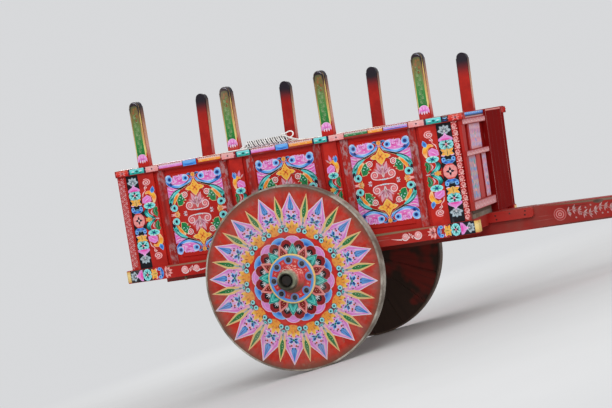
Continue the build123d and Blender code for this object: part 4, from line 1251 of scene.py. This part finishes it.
def lily(pen, layer=3):
    """An orange and yellow lily with a dark stripe, over a bright blue double scroll."""
    for turn, length in ((0, 26), (64, 40), (-64, 40), (110, 38), (-110, 38)):
        pen.leaf(0, 4, turn, length, 20, ORANGE, YELLOW, layer, rim=(CREAM, 1.4))
    pen.oval(0, 2, 17, 20, TAN, YELLOW, layer + 1)
    pen.line([(0, 16), (0, -14)], [1, 5, 2], rgb(70, 62, 60), layer + 2)
    for side in (1, -1):
        pen.hair([(side * 7, 12), (side * 9, -10)], 3, ORANGE, layer + 2)
        pen.leaf(side * 12, -10, side * 96, 28, 13, LILAC, WHITE, layer - 0.6)
        eye(pen, side * 28, -34, 12, layer, BLUE, PALE_BLUE, DARK_BLUE)
    pen.line([(-38, -42), (-18, -50), (0, -52), (18, -50), (38, -42)], [4, 13, 15, 13, 4],
             [BLUE, DARK_BLUE, BLUE, DARK_BLUE, BLUE], layer - 0.5, rim=(PALE_BLUE, 1.8))
    pen.hair([(-20, -40), (0, -37), (20, -40)], 4, PALE_BLUE, layer + 1)


def paint_band(pen, scale):
    """The column of flowers down a black end board, about its middle."""
    pen = pen.at(sx=scale, sy=1)
    for side in (1, -1):
        half = pen.at(sx=1, sy=side)
        leaf_cluster(half.at(0, 222))
        bud(half.at(0, 180))
        bead_flower(half.at(0, 149))
        lily(half.at(0, 102))
    pen.shape(round_outline(40, 43, 32, 8, 0.05), SALMON, rgb(232, 170, 170), 3, rim=(rgb(196, 84, 80), 2.2))
    pen.fan(0, 0, range(0, 360, 45), 38, 11, rgb(214, 110, 104), rgb(240, 180, 176), 4)
    pen.fan(0, 0, range(0, 360, 90), 25, 13, BLACK, NAVY, 5)
    for side in (1, -1):
        pen.line([(-22, side * 34), (0, side * 39), (22, side * 34)], [2, 7, 2], rgb(206, 60, 50), 5)
    pen.disc(0, 0, 6, WHITE, ROSE, 6, count=8)


def vine(pen, low, high, radius, step, stem=ROSE, light=rgb(246, 206, 202), weight=1.0):
    """A vine up a narrow strip: a chain of curls, linked by leaning strokes, with small leaves between."""
    for i in range(int((high - low) / step)):
        side = 1 if i % 2 else -1
        y = low + step * (i + 0.5)
        curl = pen.at(side * radius * 0.12, y, sx=side, sy=1)
        wide = radius * 0.32 * weight
        curl.line(spiral(radius, 1.4, -110, 0.3), [wide, wide * 0.9, wide], [light, stem, light], 3, steps=1)
        pen.line([(-side * radius, y - 2), (0, y + step * 0.5), (side * radius, y + step + 2)],
                 [1, 3.2 * weight, 1], stem, 2)
        for flip in (1, -1):
            pen.leaf(flip * radius * 0.4, y + step * 0.5, flip * 75, radius * 0.9, radius * 0.34, light, stem,
                     2.4)


def double_scroll(pen):
    """Two pink and white scrolls with a tail, along a rail."""
    for x, radius in ((-34, 22), (40, 25)):
        pen.disc(x, 0, radius * 0.86, rgb(206, 120, 124), rgb(226, 170, 172), 1.5)
        pen.at(x, 0).line(spiral(radius, 2.0, 200), [6, 5, 4], [WHITE, ROSE, WHITE], 3, steps=1)
    for turn, x, length in ((60, -10, 20), (-20, -4, 22), (150, 0, 20), (100, 2, 18), (210, -8, 16)):
        pen.leaf(x, 0, turn, length, 8, ROSE, WHITE, 3)
    pen.line([(-56, -14), (-84, -10), (-116, -3)], [7, 6, 2], [WHITE, ROSE], 3)
    pen.disc(6, 12, 3, MAROON, layer=4, count=6)


def half_flower(pen):
    """A salmon flower's half, opening towards +X."""
    pen.fan(0, 0, (0, 36, 72, 108, 144, 180), 38, 18, SALMON, rgb(240, 178, 176), 2,
            rim=(rgb(240, 200, 190), 1.2))
    pen.fan(0, 0, (18, 54, 90, 126, 162), 24, 6, rgb(176, 40, 40), SALMON, 3)
    pen.disc(8, 0, 4, BLACK, layer=4, count=6)


rail_end_height = (-32, 32)
straw = [rgb(206, 160, 92), rgb(226, 196, 120), rgb(232, 206, 140), rgb(214, 168, 84)]


def paint_rail_end(pen):
    """A bottom rail's painted end: the pen's origin is where the black begins, and +X leads to the middle."""
    pen.block((-20, 0), rail_end_height, straw, 1)
    pen.block((0, 146), (-36, 36), [BLACK, rgb(34, 34, 50), BLACK], 1)
    column = pen.at(angle=-90)
    flat = column.at(sx=0.86, sy=1)
    leaf_cluster(flat.at(0, 30, angle=180, sx=0.9, sy=0.9))
    bud(flat.at(0, 68, angle=180, sx=0.92, sy=1.1), 4)
    bead_flower(flat.at(0, 108, sx=0.98, sy=0.85))
    lily(flat.at(0, 158, angle=180, sx=0.98, sy=0.92), 4)
    half_flower(pen.at(232, 0, sx=1, sy=0.9))


rail_blocks = [
    # from, to, kind
    (-1041, -960, "red"), (-955, -857, "teal"), (-849, -768, "salmon"), (-764, -612, "lilac"),
    (-610, -525, "blue"), (-512, -371, "orange"), (-366, -288, "salmon"), (-272, -188, "teal"),
    (-185, -34, "lilac"), (-31, 46, "blue"), (50, 193, "orange"), (199, 281, "teal"),
    (290, 380, "salmon"), (383, 519, "green"), (522, 609, "orange"), (613, 753, "stripes"),
    (758, 849, "salmon"), (858, 949, "teal"), (953, 984, "black"), (987, 1068, "red"),
]
block_colours = {
    # low, middle, high
    "red": [rgb(176, 30, 24), rgb(214, 46, 34), rgb(206, 96, 80)],
    "teal": [DARK_TEAL, TEAL, PALE_TEAL],
    "salmon": [SALMON, rgb(230, 150, 150), rgb(226, 178, 172)],
    "lilac": [rgb(206, 104, 176), LILAC, PALE_LILAC],
    "blue": [BLUE, BLUE, PALE_BLUE],
    "orange": [rgb(226, 160, 60), ORANGE, rgb(238, 190, 140)],
    "green": [rgb(24, 92, 56), GREEN, rgb(140, 172, 140)],
    "stripes": [BLUE, LILAC, PALE_BLUE],
    "black": [BLACK, rgb(50, 50, 56), rgb(110, 110, 106)],
}
narrow_kinds = ("lilac", "orange", "green", "stripes")
# A row of blocks that is worn more than this shows their ground colours alone
plain_row_wear = 0.3


def paint_top_rail(pen, wide, narrow, worn=0.0):
    """The row of coloured blocks along a top rail. Some kinds are painted narrower. A worn row is paler."""
    for x0, x1, kind in rail_blocks:
        low, high = narrow if kind in narrow_kinds else wide
        middle, span = (x0 + x1) / 2, x1 - x0
        tall = high - low
        centre = low + tall * 0.5
        colours = [blend(colour, rgb(206, 176, 164), worn) for colour in block_colours[kind]]
        pen.block((x0, x1), (low, high), colours, 1)
        if worn > plain_row_wear:
            continue
        for x in (x0, x1):
            pen.line([(x, low), (x, high)], 2.4, rgb(60, 34, 40), 1.5)
        light = blend(colours[1], WHITE, 0.45)
        if kind == "teal":
            for x in (x0 - 2, x1 + 2):
                pen.line([(x, low), (x, high)], 10, NAVY, 2)
            pen.at(middle, centre).oval(0, 0, 9, 6, NAVY, DARK_TEAL, 2.5, count=8)
            for side in (1, -1):
                pen.leaf(middle + side * 12, centre, side * 90, 27, 9, PALE_TEAL, WHITE, 2)
                pen.leaf(middle + side * 16, low + tall * 0.2, side * 70, 18, 5, NAVY, DARK_TEAL, 2)
        elif kind in narrow_kinds:
            edge = [rgb(206, 176, 176), rgb(226, 206, 206), rgb(196, 150, 150)]
            pen.block((x0, x1), (high, high + 7), edge, 1)
            for k in range(int(span / 14)):
                pen.leaf(x0 + 5 + 14 * k, high + 3.5, 80, 9, 3, rgb(130, 60, 70), layer=2)
            for k in range(int(span / 22)):
                x = x0 + 10 + 22 * k
                rise = low + tall * (0.3 + 0.35 * (k % 2))
                pen.hair([(x, rise), (x + 7, rise + 4), (x + 15, rise - 2)], 4, light, 2)
            if kind == "stripes":
                pen.line([(x0 + 4, low + tall * 0.24), (x1 - 4, low + tall * 0.3)], [2, 6, 2],
                         rgb(90, 90, 170), 3)
        elif kind in ("salmon", "red"):
            pen.fan(middle, centre, (50, 90, 130, -50, -90, -130), 24, 7, light, colours[1], 2)
            pen.disc(middle, centre, 5, rgb(110, 60, 70), NAVY, 3, count=8)
            for side in (1, -1):
                pen.leaf(middle + side * 30, low + tall * 0.45, side * 80, 18, 6, colours[0], light, 2)
        else:
            pen.line([(x0 + 4, low + tall * 0.7), (middle, low + tall * 0.56), (x1 - 4, low + tall * 0.7)],
                     [2, 5, 2], PALE_BLUE, 2)
            pen.hair([(x0 + 6, low + tall * 0.25), (middle, low + tall * 0.2), (x1 - 6, low + tall * 0.28)],
                     5, DARK_BLUE, 2)


def stake_coat(pen, length, low, inset, top_inset, colours, layer):
    """Paint that fills a stake's face from a height up to its round top, less an inset on each edge."""
    shoulder = length - stake_top_half
    steps = 14
    heights = [low + (shoulder - low) * i / steps for i in range(steps)]
    dome = [radians(a) for a in range(0, 91, 9)]
    taper = (stake_top_half - stake_half) / shoulder
    rows = [(y, stake_half + taper * y - stake_edge - inset) for y in heights]
    wide, tall = (stake_top_half - stake_edge - less for less in (inset, top_inset))
    rows += [(shoulder + tall * sin(a), max(wide * cos(a), 0.4)) for a in dome]
    shades = [along(colours, (y - low) / (shoulder + tall - low)) for y, _ in rows]
    n = len(rows)
    faces = [(i + 1, i, n + i, n + i + 1) for i in range(n - 1)]
    pen.add([(-x, y) for y, x in rows] + [(x, y) for y, x in rows], layer, shades + shades, faces)


def paint_stake(pen, length):
    """The front of one stake over the rail: red foot, pink scallop, green field with a vine, dark cap."""
    dark = rgb(40, 32, 38)
    edges = [rgb(214, 196, 120), rgb(224, 206, 134), rgb(214, 186, 116), rgb(196, 156, 94), rgb(166, 126, 80),
             rgb(126, 92, 66)]
    stake_coat(pen, length, 60, 0, 0, edges + [rgb(150, 104, 74), rgb(60, 46, 46), dark], 1)
    green = [rgb(30, 104, 48), rgb(38, 122, 54), rgb(50, 128, 60), rgb(68, 130, 64), rgb(88, 128, 66)]
    green += [rgb(102, 122, 64), rgb(116, 106, 58), rgb(112, 100, 56), rgb(84, 86, 54)]
    stake_coat(pen.at(-2, 0), length, 64, 5, 19, green, 2)
    vine(pen.at(-2, 0), 84, length - 60, 11, 25, rgb(92, 140, 86), rgb(140, 160, 116))
    for x, below, size in ((-9, 62, 7), (8, 84, 8), (-4, 44, 6), (10, 40, 5), (2, 108, 6)):
        patch = pen.at(x, length - below)
        patch.oval(0, 0, size, size * 1.6, rgb(130, 100, 56), rgb(146, 84, 50), 3, count=8)
    for path, widths in (
        ([(25, 106), (27, 54), (24, 28), (12, 10)], [1, 7, 10, 12]),
        ([(-26, 70), (-24, 30), (-8, 11), (12, 11)], [1, 7, 14, 13]),
    ):
        pen.line([(x, length - below) for x, below in path], widths, dark, 3.4)
    # A pale grey stroke round the cap's top: a painted highlight.
    pen.hair([(21, length - 20), (10, length - 8), (-6, length - 6)], 3.4, rgb(172, 170, 182), 4)
    pen.block((-30.5, 30.5), (2, 60), [rgb(178, 28, 20), rgb(192, 34, 24)], 1.5)
    dome = [(28 * cos(radians(a)), 46 + 27 * sin(radians(a))) for a in range(0, 181, 15)]
    teeth = [(-28, 30), (-21, 40), (-14, 25), (-7, 38), (0, 22), (7, 38), (14, 25), (21, 40), (28, 30)]
    pen.shape(dome + teeth, rgb(226, 150, 212), rgb(210, 96, 180), 4, rim=(rgb(238, 196, 226), 1.8),
              core=(0, 46))
    for x in (-14, 0, 14):
        pen.leaf(x, 24, 0, 20, 8, WHITE, PALE_LILAC, 5)
        pen.leaf(x, 50, x * 2, 17, 9, rgb(238, 190, 230), LILAC, 5)


def paint_stake_edge(pen, length):
    """The narrow side of a stake: red foot, pinkish straw, then brown and black."""
    shades = [rgb(188, 36, 28), rgb(206, 110, 100), rgb(216, 160, 140), rgb(206, 150, 116), rgb(190, 134, 96),
              rgb(140, 92, 72), rgb(44, 36, 40)]
    pen.line([(0, 3), (0, length - 32)], [44, 42], shades, 1, steps=14)
    for i in range(int((length - 170) / 24)):
        y = 76 + 24 * i
        slant = 5 if i % 2 else -4
        pen.hair([(slant - 3, y - 12), (slant, y), (slant + 3, y + 11)], 4, rgb(226, 186, 160), 2)
        pen.hair([(slant + 11, y - 6), (slant + 12, y + 8)], 3, rgb(150, 100, 76), 2)


# The cart's planes

# Up and forward in the raked walls at the front and the tail
RAKED_UP = Vector((tan(rake), 0, 1))
RAKED_FORWARD = Vector((cos(rake), 0, -sin(rake)))


def up_the_wall(side):
    return Vector((tan(rake), side * sin(lean), cos(lean)))


def wall_pen(sheet, side, x=0.0, z=0.0, depth=0.0):
    """A pen on the outside of a side wall at a depth in from its face. Up follows the raked uprights."""
    outward = Vector((0, side * cos(lean), -sin(lean)))
    up = up_the_wall(side)
    origin = Vector((x, side * half_width, deck_z)) - outward * depth + up * z
    return Pen(sheet, origin, FORWARD, up, outward)


def rail_top_pen(sheet, side):
    """A pen on top of a side's top rail, with +Y inward."""
    outward = Vector((0, side * sin(lean), cos(lean)))
    inward = Vector((0, -side * cos(lean), sin(lean)))
    origin = Vector((0, side * half_width, deck_z)) + up_the_wall(side) * rail_top - inward * rail_proud
    return Pen(sheet, origin, FORWARD, inward, outward)


def side_of_stake_pen(sheet, side, i, end):
    """A pen on the front or rear face of a stake over the rail."""
    up = Vector((sin(rake), side * sin(lean) * cos(rake), cos(lean) * cos(rake)))
    outward = Vector((end * cos(rake), 0, -end * sin(rake)))
    across = Vector((0, side * cos(lean), -sin(lean)))
    foot = wall_pen(sheet, side, stake_x[i] + end * stake_mean_half, rail_top, wall_thickness / 2)
    return Pen(sheet, foot.origin, across, up, outward)


def flat_pen(sheet, origin, across, outward):
    """A pen on an upright plane, with up along the bed's own."""
    return Pen(sheet, Vector(origin), across, UPWARD, outward)


# Where the sides' ornament lies: along the bed, and up from the deck
panel_stretch = (353 / 356, 458 / 464)
band_places = ((-952, 0.92), (950, 1.0))
front_vine_x = 1011
rear_vine_places = ((-1031, 3), (-1013, 13))
vine_top = 549
side_middle = wall_height / 2 + 8
rail_row_ends = (-1046, 1070)
rail_end_places = ((-1059, 1), (1042, -1))
double_scroll_places = ((-668, -1), (676, 1))


def paint_bottom_rail(sheet, side):
    """A bottom rail's painted ends and scrolls, the mud along its top edge and the straw-coloured ends."""
    low = flat_pen(sheet, (0, side * bottom_rail_face_y, bottom_rail_z), FORWARD, Vector((0, side, 0)))
    for x, way in rail_end_places:
        paint_rail_end(low.at(x, 0, sx=way, sy=1))
    for x, way in double_scroll_places:
        double_scroll(low.at(x, 0, sx=way, sy=1))
    ledge = [rgb(150, 96, 80), rgb(128, 122, 92), rgb(160, 132, 112), rgb(122, 116, 88), rgb(150, 90, 72)]
    top_edge = [(-820, 32), (-300, 31.4), (0, 31.8), (400, 31.2), (830, 32)]
    low.line(top_edge, [8, 12, 10, 12, 8], ledge, 1, steps=4)
    for x, end in ((bottom_rail_rear_x, -1), (bottom_rail_front_x, 1)):
        end_face = flat_pen(sheet, (x, side * bottom_rail_end_y, bottom_rail_z), LEFT, Vector((end, 0, 0)))
        end_face.block((-27, 27), rail_end_height, straw, 1)
        bevel = (x - end * 2.5, side * bottom_rail_bevel_y, bottom_rail_z)
        across, outward = (Vector((end, way * side, 0)).normalized() for way in (-1, 1))
        flat_pen(sheet, bevel, across, outward).block((-3.4, 3.4), rail_end_height, straw, 1)


def paint_side(side, material):
    """Everything painted on one side wall, its rails and stakes."""
    name = "left" if side > 0 else "right"
    sheet = Sheet(name + "_wall_paint", "root")
    bays = [(a + h, b - k) for a, b, h, k in zip(stake_x, stake_x[1:], post_half, post_half[1:])]
    for number, (low, high) in enumerate(bays, 1):
        panel = Sheet("%s_panel_paint_%d" % (name, number), "root")
        pen = wall_pen(panel, side, (low + high) / 2, side_middle, panel_setback - field_height - 0.1)
        paint_panel(pen.at(0, -1).at(sx=panel_stretch[0], sy=panel_stretch[1]))
        inward = BED.to_3x3() @ -pen.outward
        across = inward.cross(BED.to_3x3() @ pen.up.normalized()) * side
        foot = ((high - low) / 2 - field_margin) * mm
        panel.finish(material, (BED @ (pen.origin * mm), across, inward, foot))
    for i, x in enumerate(stake_x):
        mirror_way = -1 if i in (0, 2) else 1
        outer_post = i in (0, 3)
        paint_post(wall_pen(sheet, side, x, side_middle - 1), mirror_way, 1.36 if outer_post else 1.1,
                   outer_post)
        length = stake_lengths[side][i]
        paint_stake(wall_pen(sheet, side, x, rail_top), length)
        for end in (1, -1):
            paint_stake_edge(side_of_stake_pen(sheet, side, i, end), length)
    for x, scale in band_places:
        paint_band(wall_pen(sheet, side, x, side_middle, end_board_setback), scale)
    vine(wall_pen(sheet, side, front_vine_x), 4, vine_top, 13.5, 36)
    for x, start in rear_vine_places:
        vine(wall_pen(sheet, side, x), start, vine_top, 8.5, 25, rgb(206, 110, 114), rgb(240, 196, 198), 0.8)
    rail = wall_pen(sheet, side, 0, wall_height, -rail_proud)
    # A dark red band along the foot of the rail's face, under the blocks: the red ground left there, darkened
    # towards its lowest edge as painted shade.
    rail.block(rail_row_ends, (0.8, 13), [rgb(112, 20, 18), rgb(140, 26, 20), rgb(170, 34, 26)], 0.2)
    paint_top_rail(rail, (5, 36.6), (13, 29.5))
    paint_top_rail(rail_top_pen(sheet, side).at(0, 2), (3, 70), (3, 70), 0.55)
    paint_bottom_rail(sheet, side)
    return sheet


def front_pen(sheet, x):
    """A pen on the front wall at a distance forward of its back. +X is to the cart's left."""
    origin = Vector((side_front_x / cos(rake), 0, deck_z)) + RAKED_FORWARD * x
    return Pen(sheet, origin, LEFT, RAKED_UP, RAKED_FORWARD)


# The front wall: how far forward of its back its faces lie, its rails' heights, and where its open half ends
front_faces = {"rail": 35, "cap": 27, "inlay": 18, "stick": 21, "plank": 41}
front_rail_heights = ((50, 98), (347, 378), (523, 554))
open_half_end = 22
cap_span = (-470, open_half_end)
stick_y = -206
tail_panel_y = 193
tail_panel_heights = (152, 398)
tail_panel_setback = 6.5
tail_stile_y = (-394, 0, 394)


def paint_front():
    """The worn pink rails, flowery inlays and streaked sticks of the front wall."""
    sheet = Sheet("front_wall_paint", "root")
    pen = front_pen(sheet, front_faces["rail"])
    tints = [WHITE, rgb(190, 60, 66), rgb(196, 160, 200), rgb(240, 196, 190), rgb(170, 70, 90)]
    for low, high in front_rail_heights:
        left = -half_width - low * tan(lean) + 6
        shades = [rgb(206, 128, 130), rgb(214, 150, 152), rgb(186, 100, 102)]
        pen.block((left, open_half_end), (low + 3, high - 3), shades, 1)
        middle = (low + high) / 2
        for k in range(int((open_half_end - left) / 15)):
            y, lift = left + 15 * k + 9, ((k * 7) % 5 - 2) * (high - low) / 8
            z = middle + lift
            pen.hair([(y - 6, z - 3), (y, z + 3), (y + 7, z)], 5, tints[k % 5], 2)
    cap = front_pen(sheet, front_faces["cap"])
    cap.block(cap_span, (556, 564), [rgb(176, 96, 98), rgb(206, 150, 150)], 1)
    cap.block(cap_span, (564, 571), [NAVY, rgb(40, 44, 70)], 1)
    cap.block(cap_span, (571, 587), [DARK_BLUE, BLUE, PALE_BLUE], 1)
    for y in range(-450, 0, 52):
        cap.hair([(y, 577), (y + 16, 582), (y + 34, 578)], 4, rgb(190, 206, 230), 2)
    paint_inlays(front_pen(sheet, front_faces["inlay"]))
    stick = front_pen(sheet, front_faces["stick"])
    stick.line([(stick_y, 100), (stick_y, 345)], [88, 88], [rgb(176, 24, 20), rgb(190, 34, 28)], 1, steps=4)
    edge = front_pen(sheet, front_faces["plank"])
    # Pink lines down the plank's two edges: painted highlights where the edges catch the light.
    edge_highlight_pinks = [rgb(196, 96, 92), rgb(214, 140, 132), rgb(180, 70, 66), rgb(206, 130, 122)]
    edge.line([(28, 6), (28, 586)], [3, 4, 3, 4], edge_highlight_pinks, 1, steps=10)
    edge.line([(40, 20), (41, 300), (39, 580)], [2, 3, 2], rgb(96, 12, 12), 1, steps=8)
    edge.line([(401, 6), (401, 586)], [4, 6, 3, 6], [rgb(170, 90, 84), rgb(196, 130, 120), rgb(160, 60, 56)],
              1, steps=10)
    for y in (110, 205, 300):
        edge.line([(y, 4), (y + 1, 300), (y - 1, 586)], [1.2, 2.0, 1.2], rgb(58, 8, 10), 1, steps=8)
    edge.block((30, 400), (578, 587), [rgb(196, 90, 84), rgb(222, 150, 142)], 2)
    return sheet


def paint_inlays(pen):
    """The two inlay boards and the upper strip, in short upright strokes with a few leaves."""
    lilacs = [
        rgb(172, 132, 204), rgb(112, 146, 214), rgb(240, 160, 184),
        rgb(214, 206, 226), rgb(206, 96, 120), rgb(236, 190, 196),
    ]
    greens = [
        rgb(90, 168, 130), rgb(80, 130, 206), rgb(226, 130, 150),
        rgb(120, 190, 196), rgb(240, 196, 180), rgb(150, 120, 190),
    ]
    ground = [rgb(206, 140, 146), rgb(216, 170, 176), rgb(200, 130, 140)]
    windows = ((-445, -255, 98, 347, greens), (-108, -12, 98, 347, lilacs), (-310, -66, 378, 523, lilacs))
    for left, right, low, high, shades in windows:
        pen.block((left, right), (low + 2, high - 2), ground, 1)
        for k in range(int((right - left) / 10)):
            x = left + 6 + 10 * k
            for j in range(int((high - low) / 25)):
                y = low + 5 + 25 * j + (k * 17) % 13
                if y + 30 < high:
                    tints = [shades[(k * 5 + j * 2 + (k * j) % 3) % 6], shades[(k * 2 + j + 3) % 6]]
                    pen.line([(x, y), (x + 2, y + 12), (x - 1, y + 28)], [3, 10, 3], tints, 2)
    for x, y in ((-350, 150), (-400, 220), (-300, 280), (-60, 180), (-200, 440)):
        pen.leaf(x, y, 20, 46, 20, rgb(60, 150, 110), rgb(90, 190, 190), 3)
        pen.leaf(x + 18, y - 22, -50, 36, 15, rgb(70, 140, 214), PALE_BLUE, 3)
        pen.disc(x + 4, y + 8, 12, ROSE, WHITE, 4)


def paint_tail():
    """The tailboard's four panels, with the sides' ornament in each, and the vines up its stiles."""
    sheet = Sheet("tail_paint", "root")
    pen = Pen(sheet, Vector((tail_x / cos(rake), 0, deck_z)), LEFT, RAKED_UP, -RAKED_FORWARD)
    for side in (1, -1):
        for z in tail_panel_heights:
            origin = pen.origin + LEFT * side * tail_panel_y + RAKED_UP * z
            origin += RAKED_FORWARD * tail_panel_setback
            panel = Pen(sheet, origin, LEFT, RAKED_UP, -RAKED_FORWARD)
            paint_panel(panel.at(angle=90, sx=0.4, sy=0.62))
    for y in tail_stile_y:
        vine(pen.at(y, 0), 30, 520, 14, 35)
    return sheet


# The nails in the pole's cheeks: along the bed, and up from the cheeks' middle
nail_places = ((1066, 8), (1070, -14), (1150, 10), (1236, -10), (1240, 12))


def paint_pole():
    """The faded scroll along the pole and the worn top edge, with nail heads in the cheeks."""
    sheet = Sheet("pole_paint", "root")
    for side in (1, -1):
        narrow = (pole_half - pole_tip_half) / pole_length
        across = Vector((1, -side * narrow, -pole_drop / pole_length)).normalized()
        outward = Vector((narrow, side, 0)).normalized()
        pen = Pen(sheet, Vector((pole_start_x, side * pole_half, pole_middle_z)), across, UPWARD, outward)
        dull_red = rgb(158, 44, 40)
        for radius, tint in (
            (36, rgb(176, 96, 92)), (31, rgb(158, 40, 36)), (24, rgb(190, 120, 118)),
            (18, dull_red), (11, rgb(196, 128, 124)), (5, dull_red),
        ):
            pen.disc(128, 0, radius, tint, layer=1 + (36 - radius) / 10, count=20)
        paint_pole_scroll(pen)
        top_edge = [rgb(150, 40, 34), rgb(120, 84, 68), rgb(112, 92, 78), rgb(104, 84, 70), rgb(116, 98, 84)]
        pen.line([(20, 59), (300, 55), (1100, 46), (2150, 40)], [4, 12, 17, 15], top_edge, 2, steps=6)
        low_edge = [rgb(104, 44, 36), rgb(84, 56, 46)]
        pen.line([(20, -59), (700, -45), (1500, -27), (2150, -11)], [4, 8, 9, 6], low_edge, 1, steps=6)
        for k in range(9):
            x = 150 + 230 * k
            y = 40 - 5 * (k % 3) - x * 0.006
            pen.line([(x, y), (x + 70, y - 2), (x + 150, y + 1)], [0.6, 2.4, 0.6], rgb(58, 30, 26), 2)
        pen.oval(352, 48, 30, 11, rgb(90, 62, 48), rgb(44, 30, 26), 3)
        cheek = flat_pen(sheet, (0, side * cheek_face_y, cheek_middle_z), FORWARD, Vector((0, side, 0)))
        for x, z in nail_places:
            cheek.disc(x, z, 5, rgb(52, 30, 28), rgb(24, 16, 16), 1, count=8)
    return sheet


def paint_pole_scroll(pen):
    """The wavy stem with its leaves, which narrows and fades towards the pole's tip."""
    stem = []
    for k in range(66):
        x = 172 + 30 * k
        middle = 17.5 * x / pole_length
        reach = 44 - 20 * x / pole_length
        fade = min(0.88, 0.5 + 0.008 * k + 0.1 * ((k * 7) % 5) / 4)
        ground = blend(rgb(158, 34, 28), rgb(112, 66, 54), min(1.0, x / 1500))
        tints = (rgb(214, 206, 206), rgb(140, 170, 166), rgb(226, 150, 156))
        pale, green, pink = (blend(tint, ground, fade) for tint in tints)
        wave = sin(x / 26)
        y = middle + reach * 0.42 * wave
        stem.append((x, y))
        for turn, length, shade in ((24, 30, pale), (152, 30, pink), (62, 22, green), (116, 24, green)):
            pen.leaf(x, y, turn + 9 * ((k * 5) % 4), length * reach / 40, 9, shade, pale, 1.4)
        pen.disc(x + 14, middle - reach * 0.72 * wave, 5, pale, green, 1, count=8)
    pen.line(stem, [4, 3], blend(rgb(206, 150, 150), rgb(140, 52, 44), 0.6), 1.8, steps=2)


# Wheel skins

# The rings of the skin, and the joint that has split: its angle, where it starts and how fast it opens
skin_radii = [139, 200, 300, 400, 452, 480, 513]
skin_lift = 0.12
split_angle = 46.65
split_start = 440
split_half = 1.2
split_growth = 1 / 40


def wheel_skin(side, body, material):
    """The paint over the wedges' joints, left open where one joint has split at the rim."""
    points, faces = [], []
    count = 96
    y = side * (wheel_face_y + skin_lift)
    for i in range(count + 1):
        angle = split_angle + 360 * i / count
        for radius in skin_radii:
            gap = 0.0
            if i in (0, count) and radius > split_start:
                half_gap = split_half + (radius - split_start) * split_growth
                gap = degrees(asin(half_gap / radius)) * (1 if i == 0 else -1)
            a = radians(angle + gap)
            points.append(BED @ (Vector((radius * cos(a), y, radius * sin(a))) * mm))
    n = len(skin_radii)
    for i in range(count):
        for j in range(n - 1):
            a = i * n + j
            face = (a, a + 1, a + n + 1, a + n)
            faces.append(face if side < 0 else face[::-1])
    name = body + "_skin"
    mesh = bpy.data.meshes.new(name)
    mesh.from_pydata(points, [], faces)
    add_piece(name, mesh, material, body)


# Making it all

make_camera()
make_rope(rope_fibre())
make_stage()
bpy.context.scene.view_settings.view_transform = "Standard"

inner_red = rgb(164, 28, 20)
red_x = painted_wood("red_paint_long", RED, "x")
red_z = painted_wood("red_paint_upright", RED, "z")
red_y = painted_wood("red_paint_across", rgb(172, 28, 22), "y")
post_red = painted_wood("post_paint", POST_RED, "z", wear=0.56, inner=inner_red)
panel_red = painted_wood("panel_paint", rgb(194, 26, 16), "x", wear=0.7, dirt=0.12, inner=inner_red)
# The front wall's plank, post and back board: a darker red, partly their own paint and partly painted shade of the
# front wall.
shaded_dark_red = painted_wood("shaded_plank_paint", rgb(134, 16, 15), "z", wear=0.7, dirt=0.12, gloss=0.8, sheen=0.02)
pole_red = painted_wood("pole_red", rgb(158, 34, 28), "x", wear=0.6, dirt=0.4, fade=(1.3, 3.3))
black = painted_wood("black_paint", rgb(20, 20, 28), "z", worn=(0.06, 0.06, 0.07), wear=0.62, dirt=0.06,
                     gloss=0.36, inner=inner_red)
timber_x = bare_timber("timber_long", "x")
timber_y = bare_timber("timber_across", "y")
tyre_iron = worn_iron("tyre_iron", rgb(178, 172, 160), rgb(112, 100, 88), rgb(92, 72, 60), 0.2, 0.6)
# A darker copy of the tyre iron for the left wheel, standing in for the shade that tyre lies in: painted shade.
shaded_tyre = worn_iron("shaded_tyre", rgb(104, 86, 72), rgb(70, 56, 46), rgb(84, 60, 48), 0.0, 0.75)
dark_iron = worn_iron("dark_iron", rgb(66, 64, 70), rgb(36, 34, 40), rgb(80, 54, 42), 0.4)
greasy_iron = worn_iron("greasy_iron", rgb(34, 30, 27), rgb(14, 12, 12), rgb(52, 34, 26), 0.1, 0.75)
steel = worn_iron("greased_steel", rgb(96, 92, 88), rgb(48, 42, 38), rgb(60, 42, 32), 0.8, 0.4)
field = wheel_field()
hub = hub_paint()
plates = plate_paint()
ornament = brush_paint("ornament_paint", 0.86, 1.12, 0.0)
wheel_ornament = brush_paint("wheel_ornament_paint", 0.7, 0.96, 0.1)

finishes = {
    "axle_bar": greasy_iron, "axle_retainers": greasy_iron, "axle_bed": timber_y, "axle_straps": dark_iron,
    "pole": pole_red, "yoke_peg": timber_y, "pole_cheeks": red_x, "cross_beams": red_y, "rail_pegs": timber_x,
    "floor_boards": timber_x, "front_rails": red_y, "front_cap": red_y, "front_sticks": red_z,
    "front_inlays": red_z, "front_back": shaded_dark_red, "front_plank": shaded_dark_red, "front_post": shaded_dark_red,
    "tail_stiles": red_z, "tail_rails": red_y, "tail_panels": red_x, "bottom_rail": red_x,
    "top_rail": red_x,
    "right_stakes": stake_paint("right_stake_paint", 1.126, 0.009),
    "left_stakes": stake_paint("left_stake_paint", 1.134, 0.025),
    "end_stiles": post_red, "end_boards": black, "panels": panel_red, "battens": speckled_paint(),
    "wheel_segments": field, "left_tyre": shaded_tyre, "tyre": tyre_iron, "hub": hub, "hub_bushing": steel,
    "hub_plates": plates, "hub_bolts": dark_iron,
}
for name, node in frame["nodes"].items():
    key = name if name in finishes else name.removeprefix("right_").removeprefix("left_")
    if key in finishes:
        node.data.materials.clear()
        node.data.materials.append(finishes[key])

for side, prefix in ((-1, "right"), (1, "left")):
    paint_side(side, ornament).finish(ornament)
    body = prefix + "_wheel"
    wheel_skin(side, body, field)
    sheet = Sheet(prefix + "_wheel_paint", body)
    outward = Vector((0, side, 0))
    face, plate = (flat_pen(sheet, outward * y, FORWARD, outward) for y in (wheel_face_y, plate_face_y))
    paint_wheel(face, plate)
    sheet.finish(wheel_ornament)
paint_front().finish(ornament)
paint_tail().finish(ornament)
paint_pole().finish(ornament)

sizes = {"cad": cad_box, "visual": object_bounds()}
sizes = {key: [[float(part) for part in corner] for corner in box] for key, box in sizes.items()}
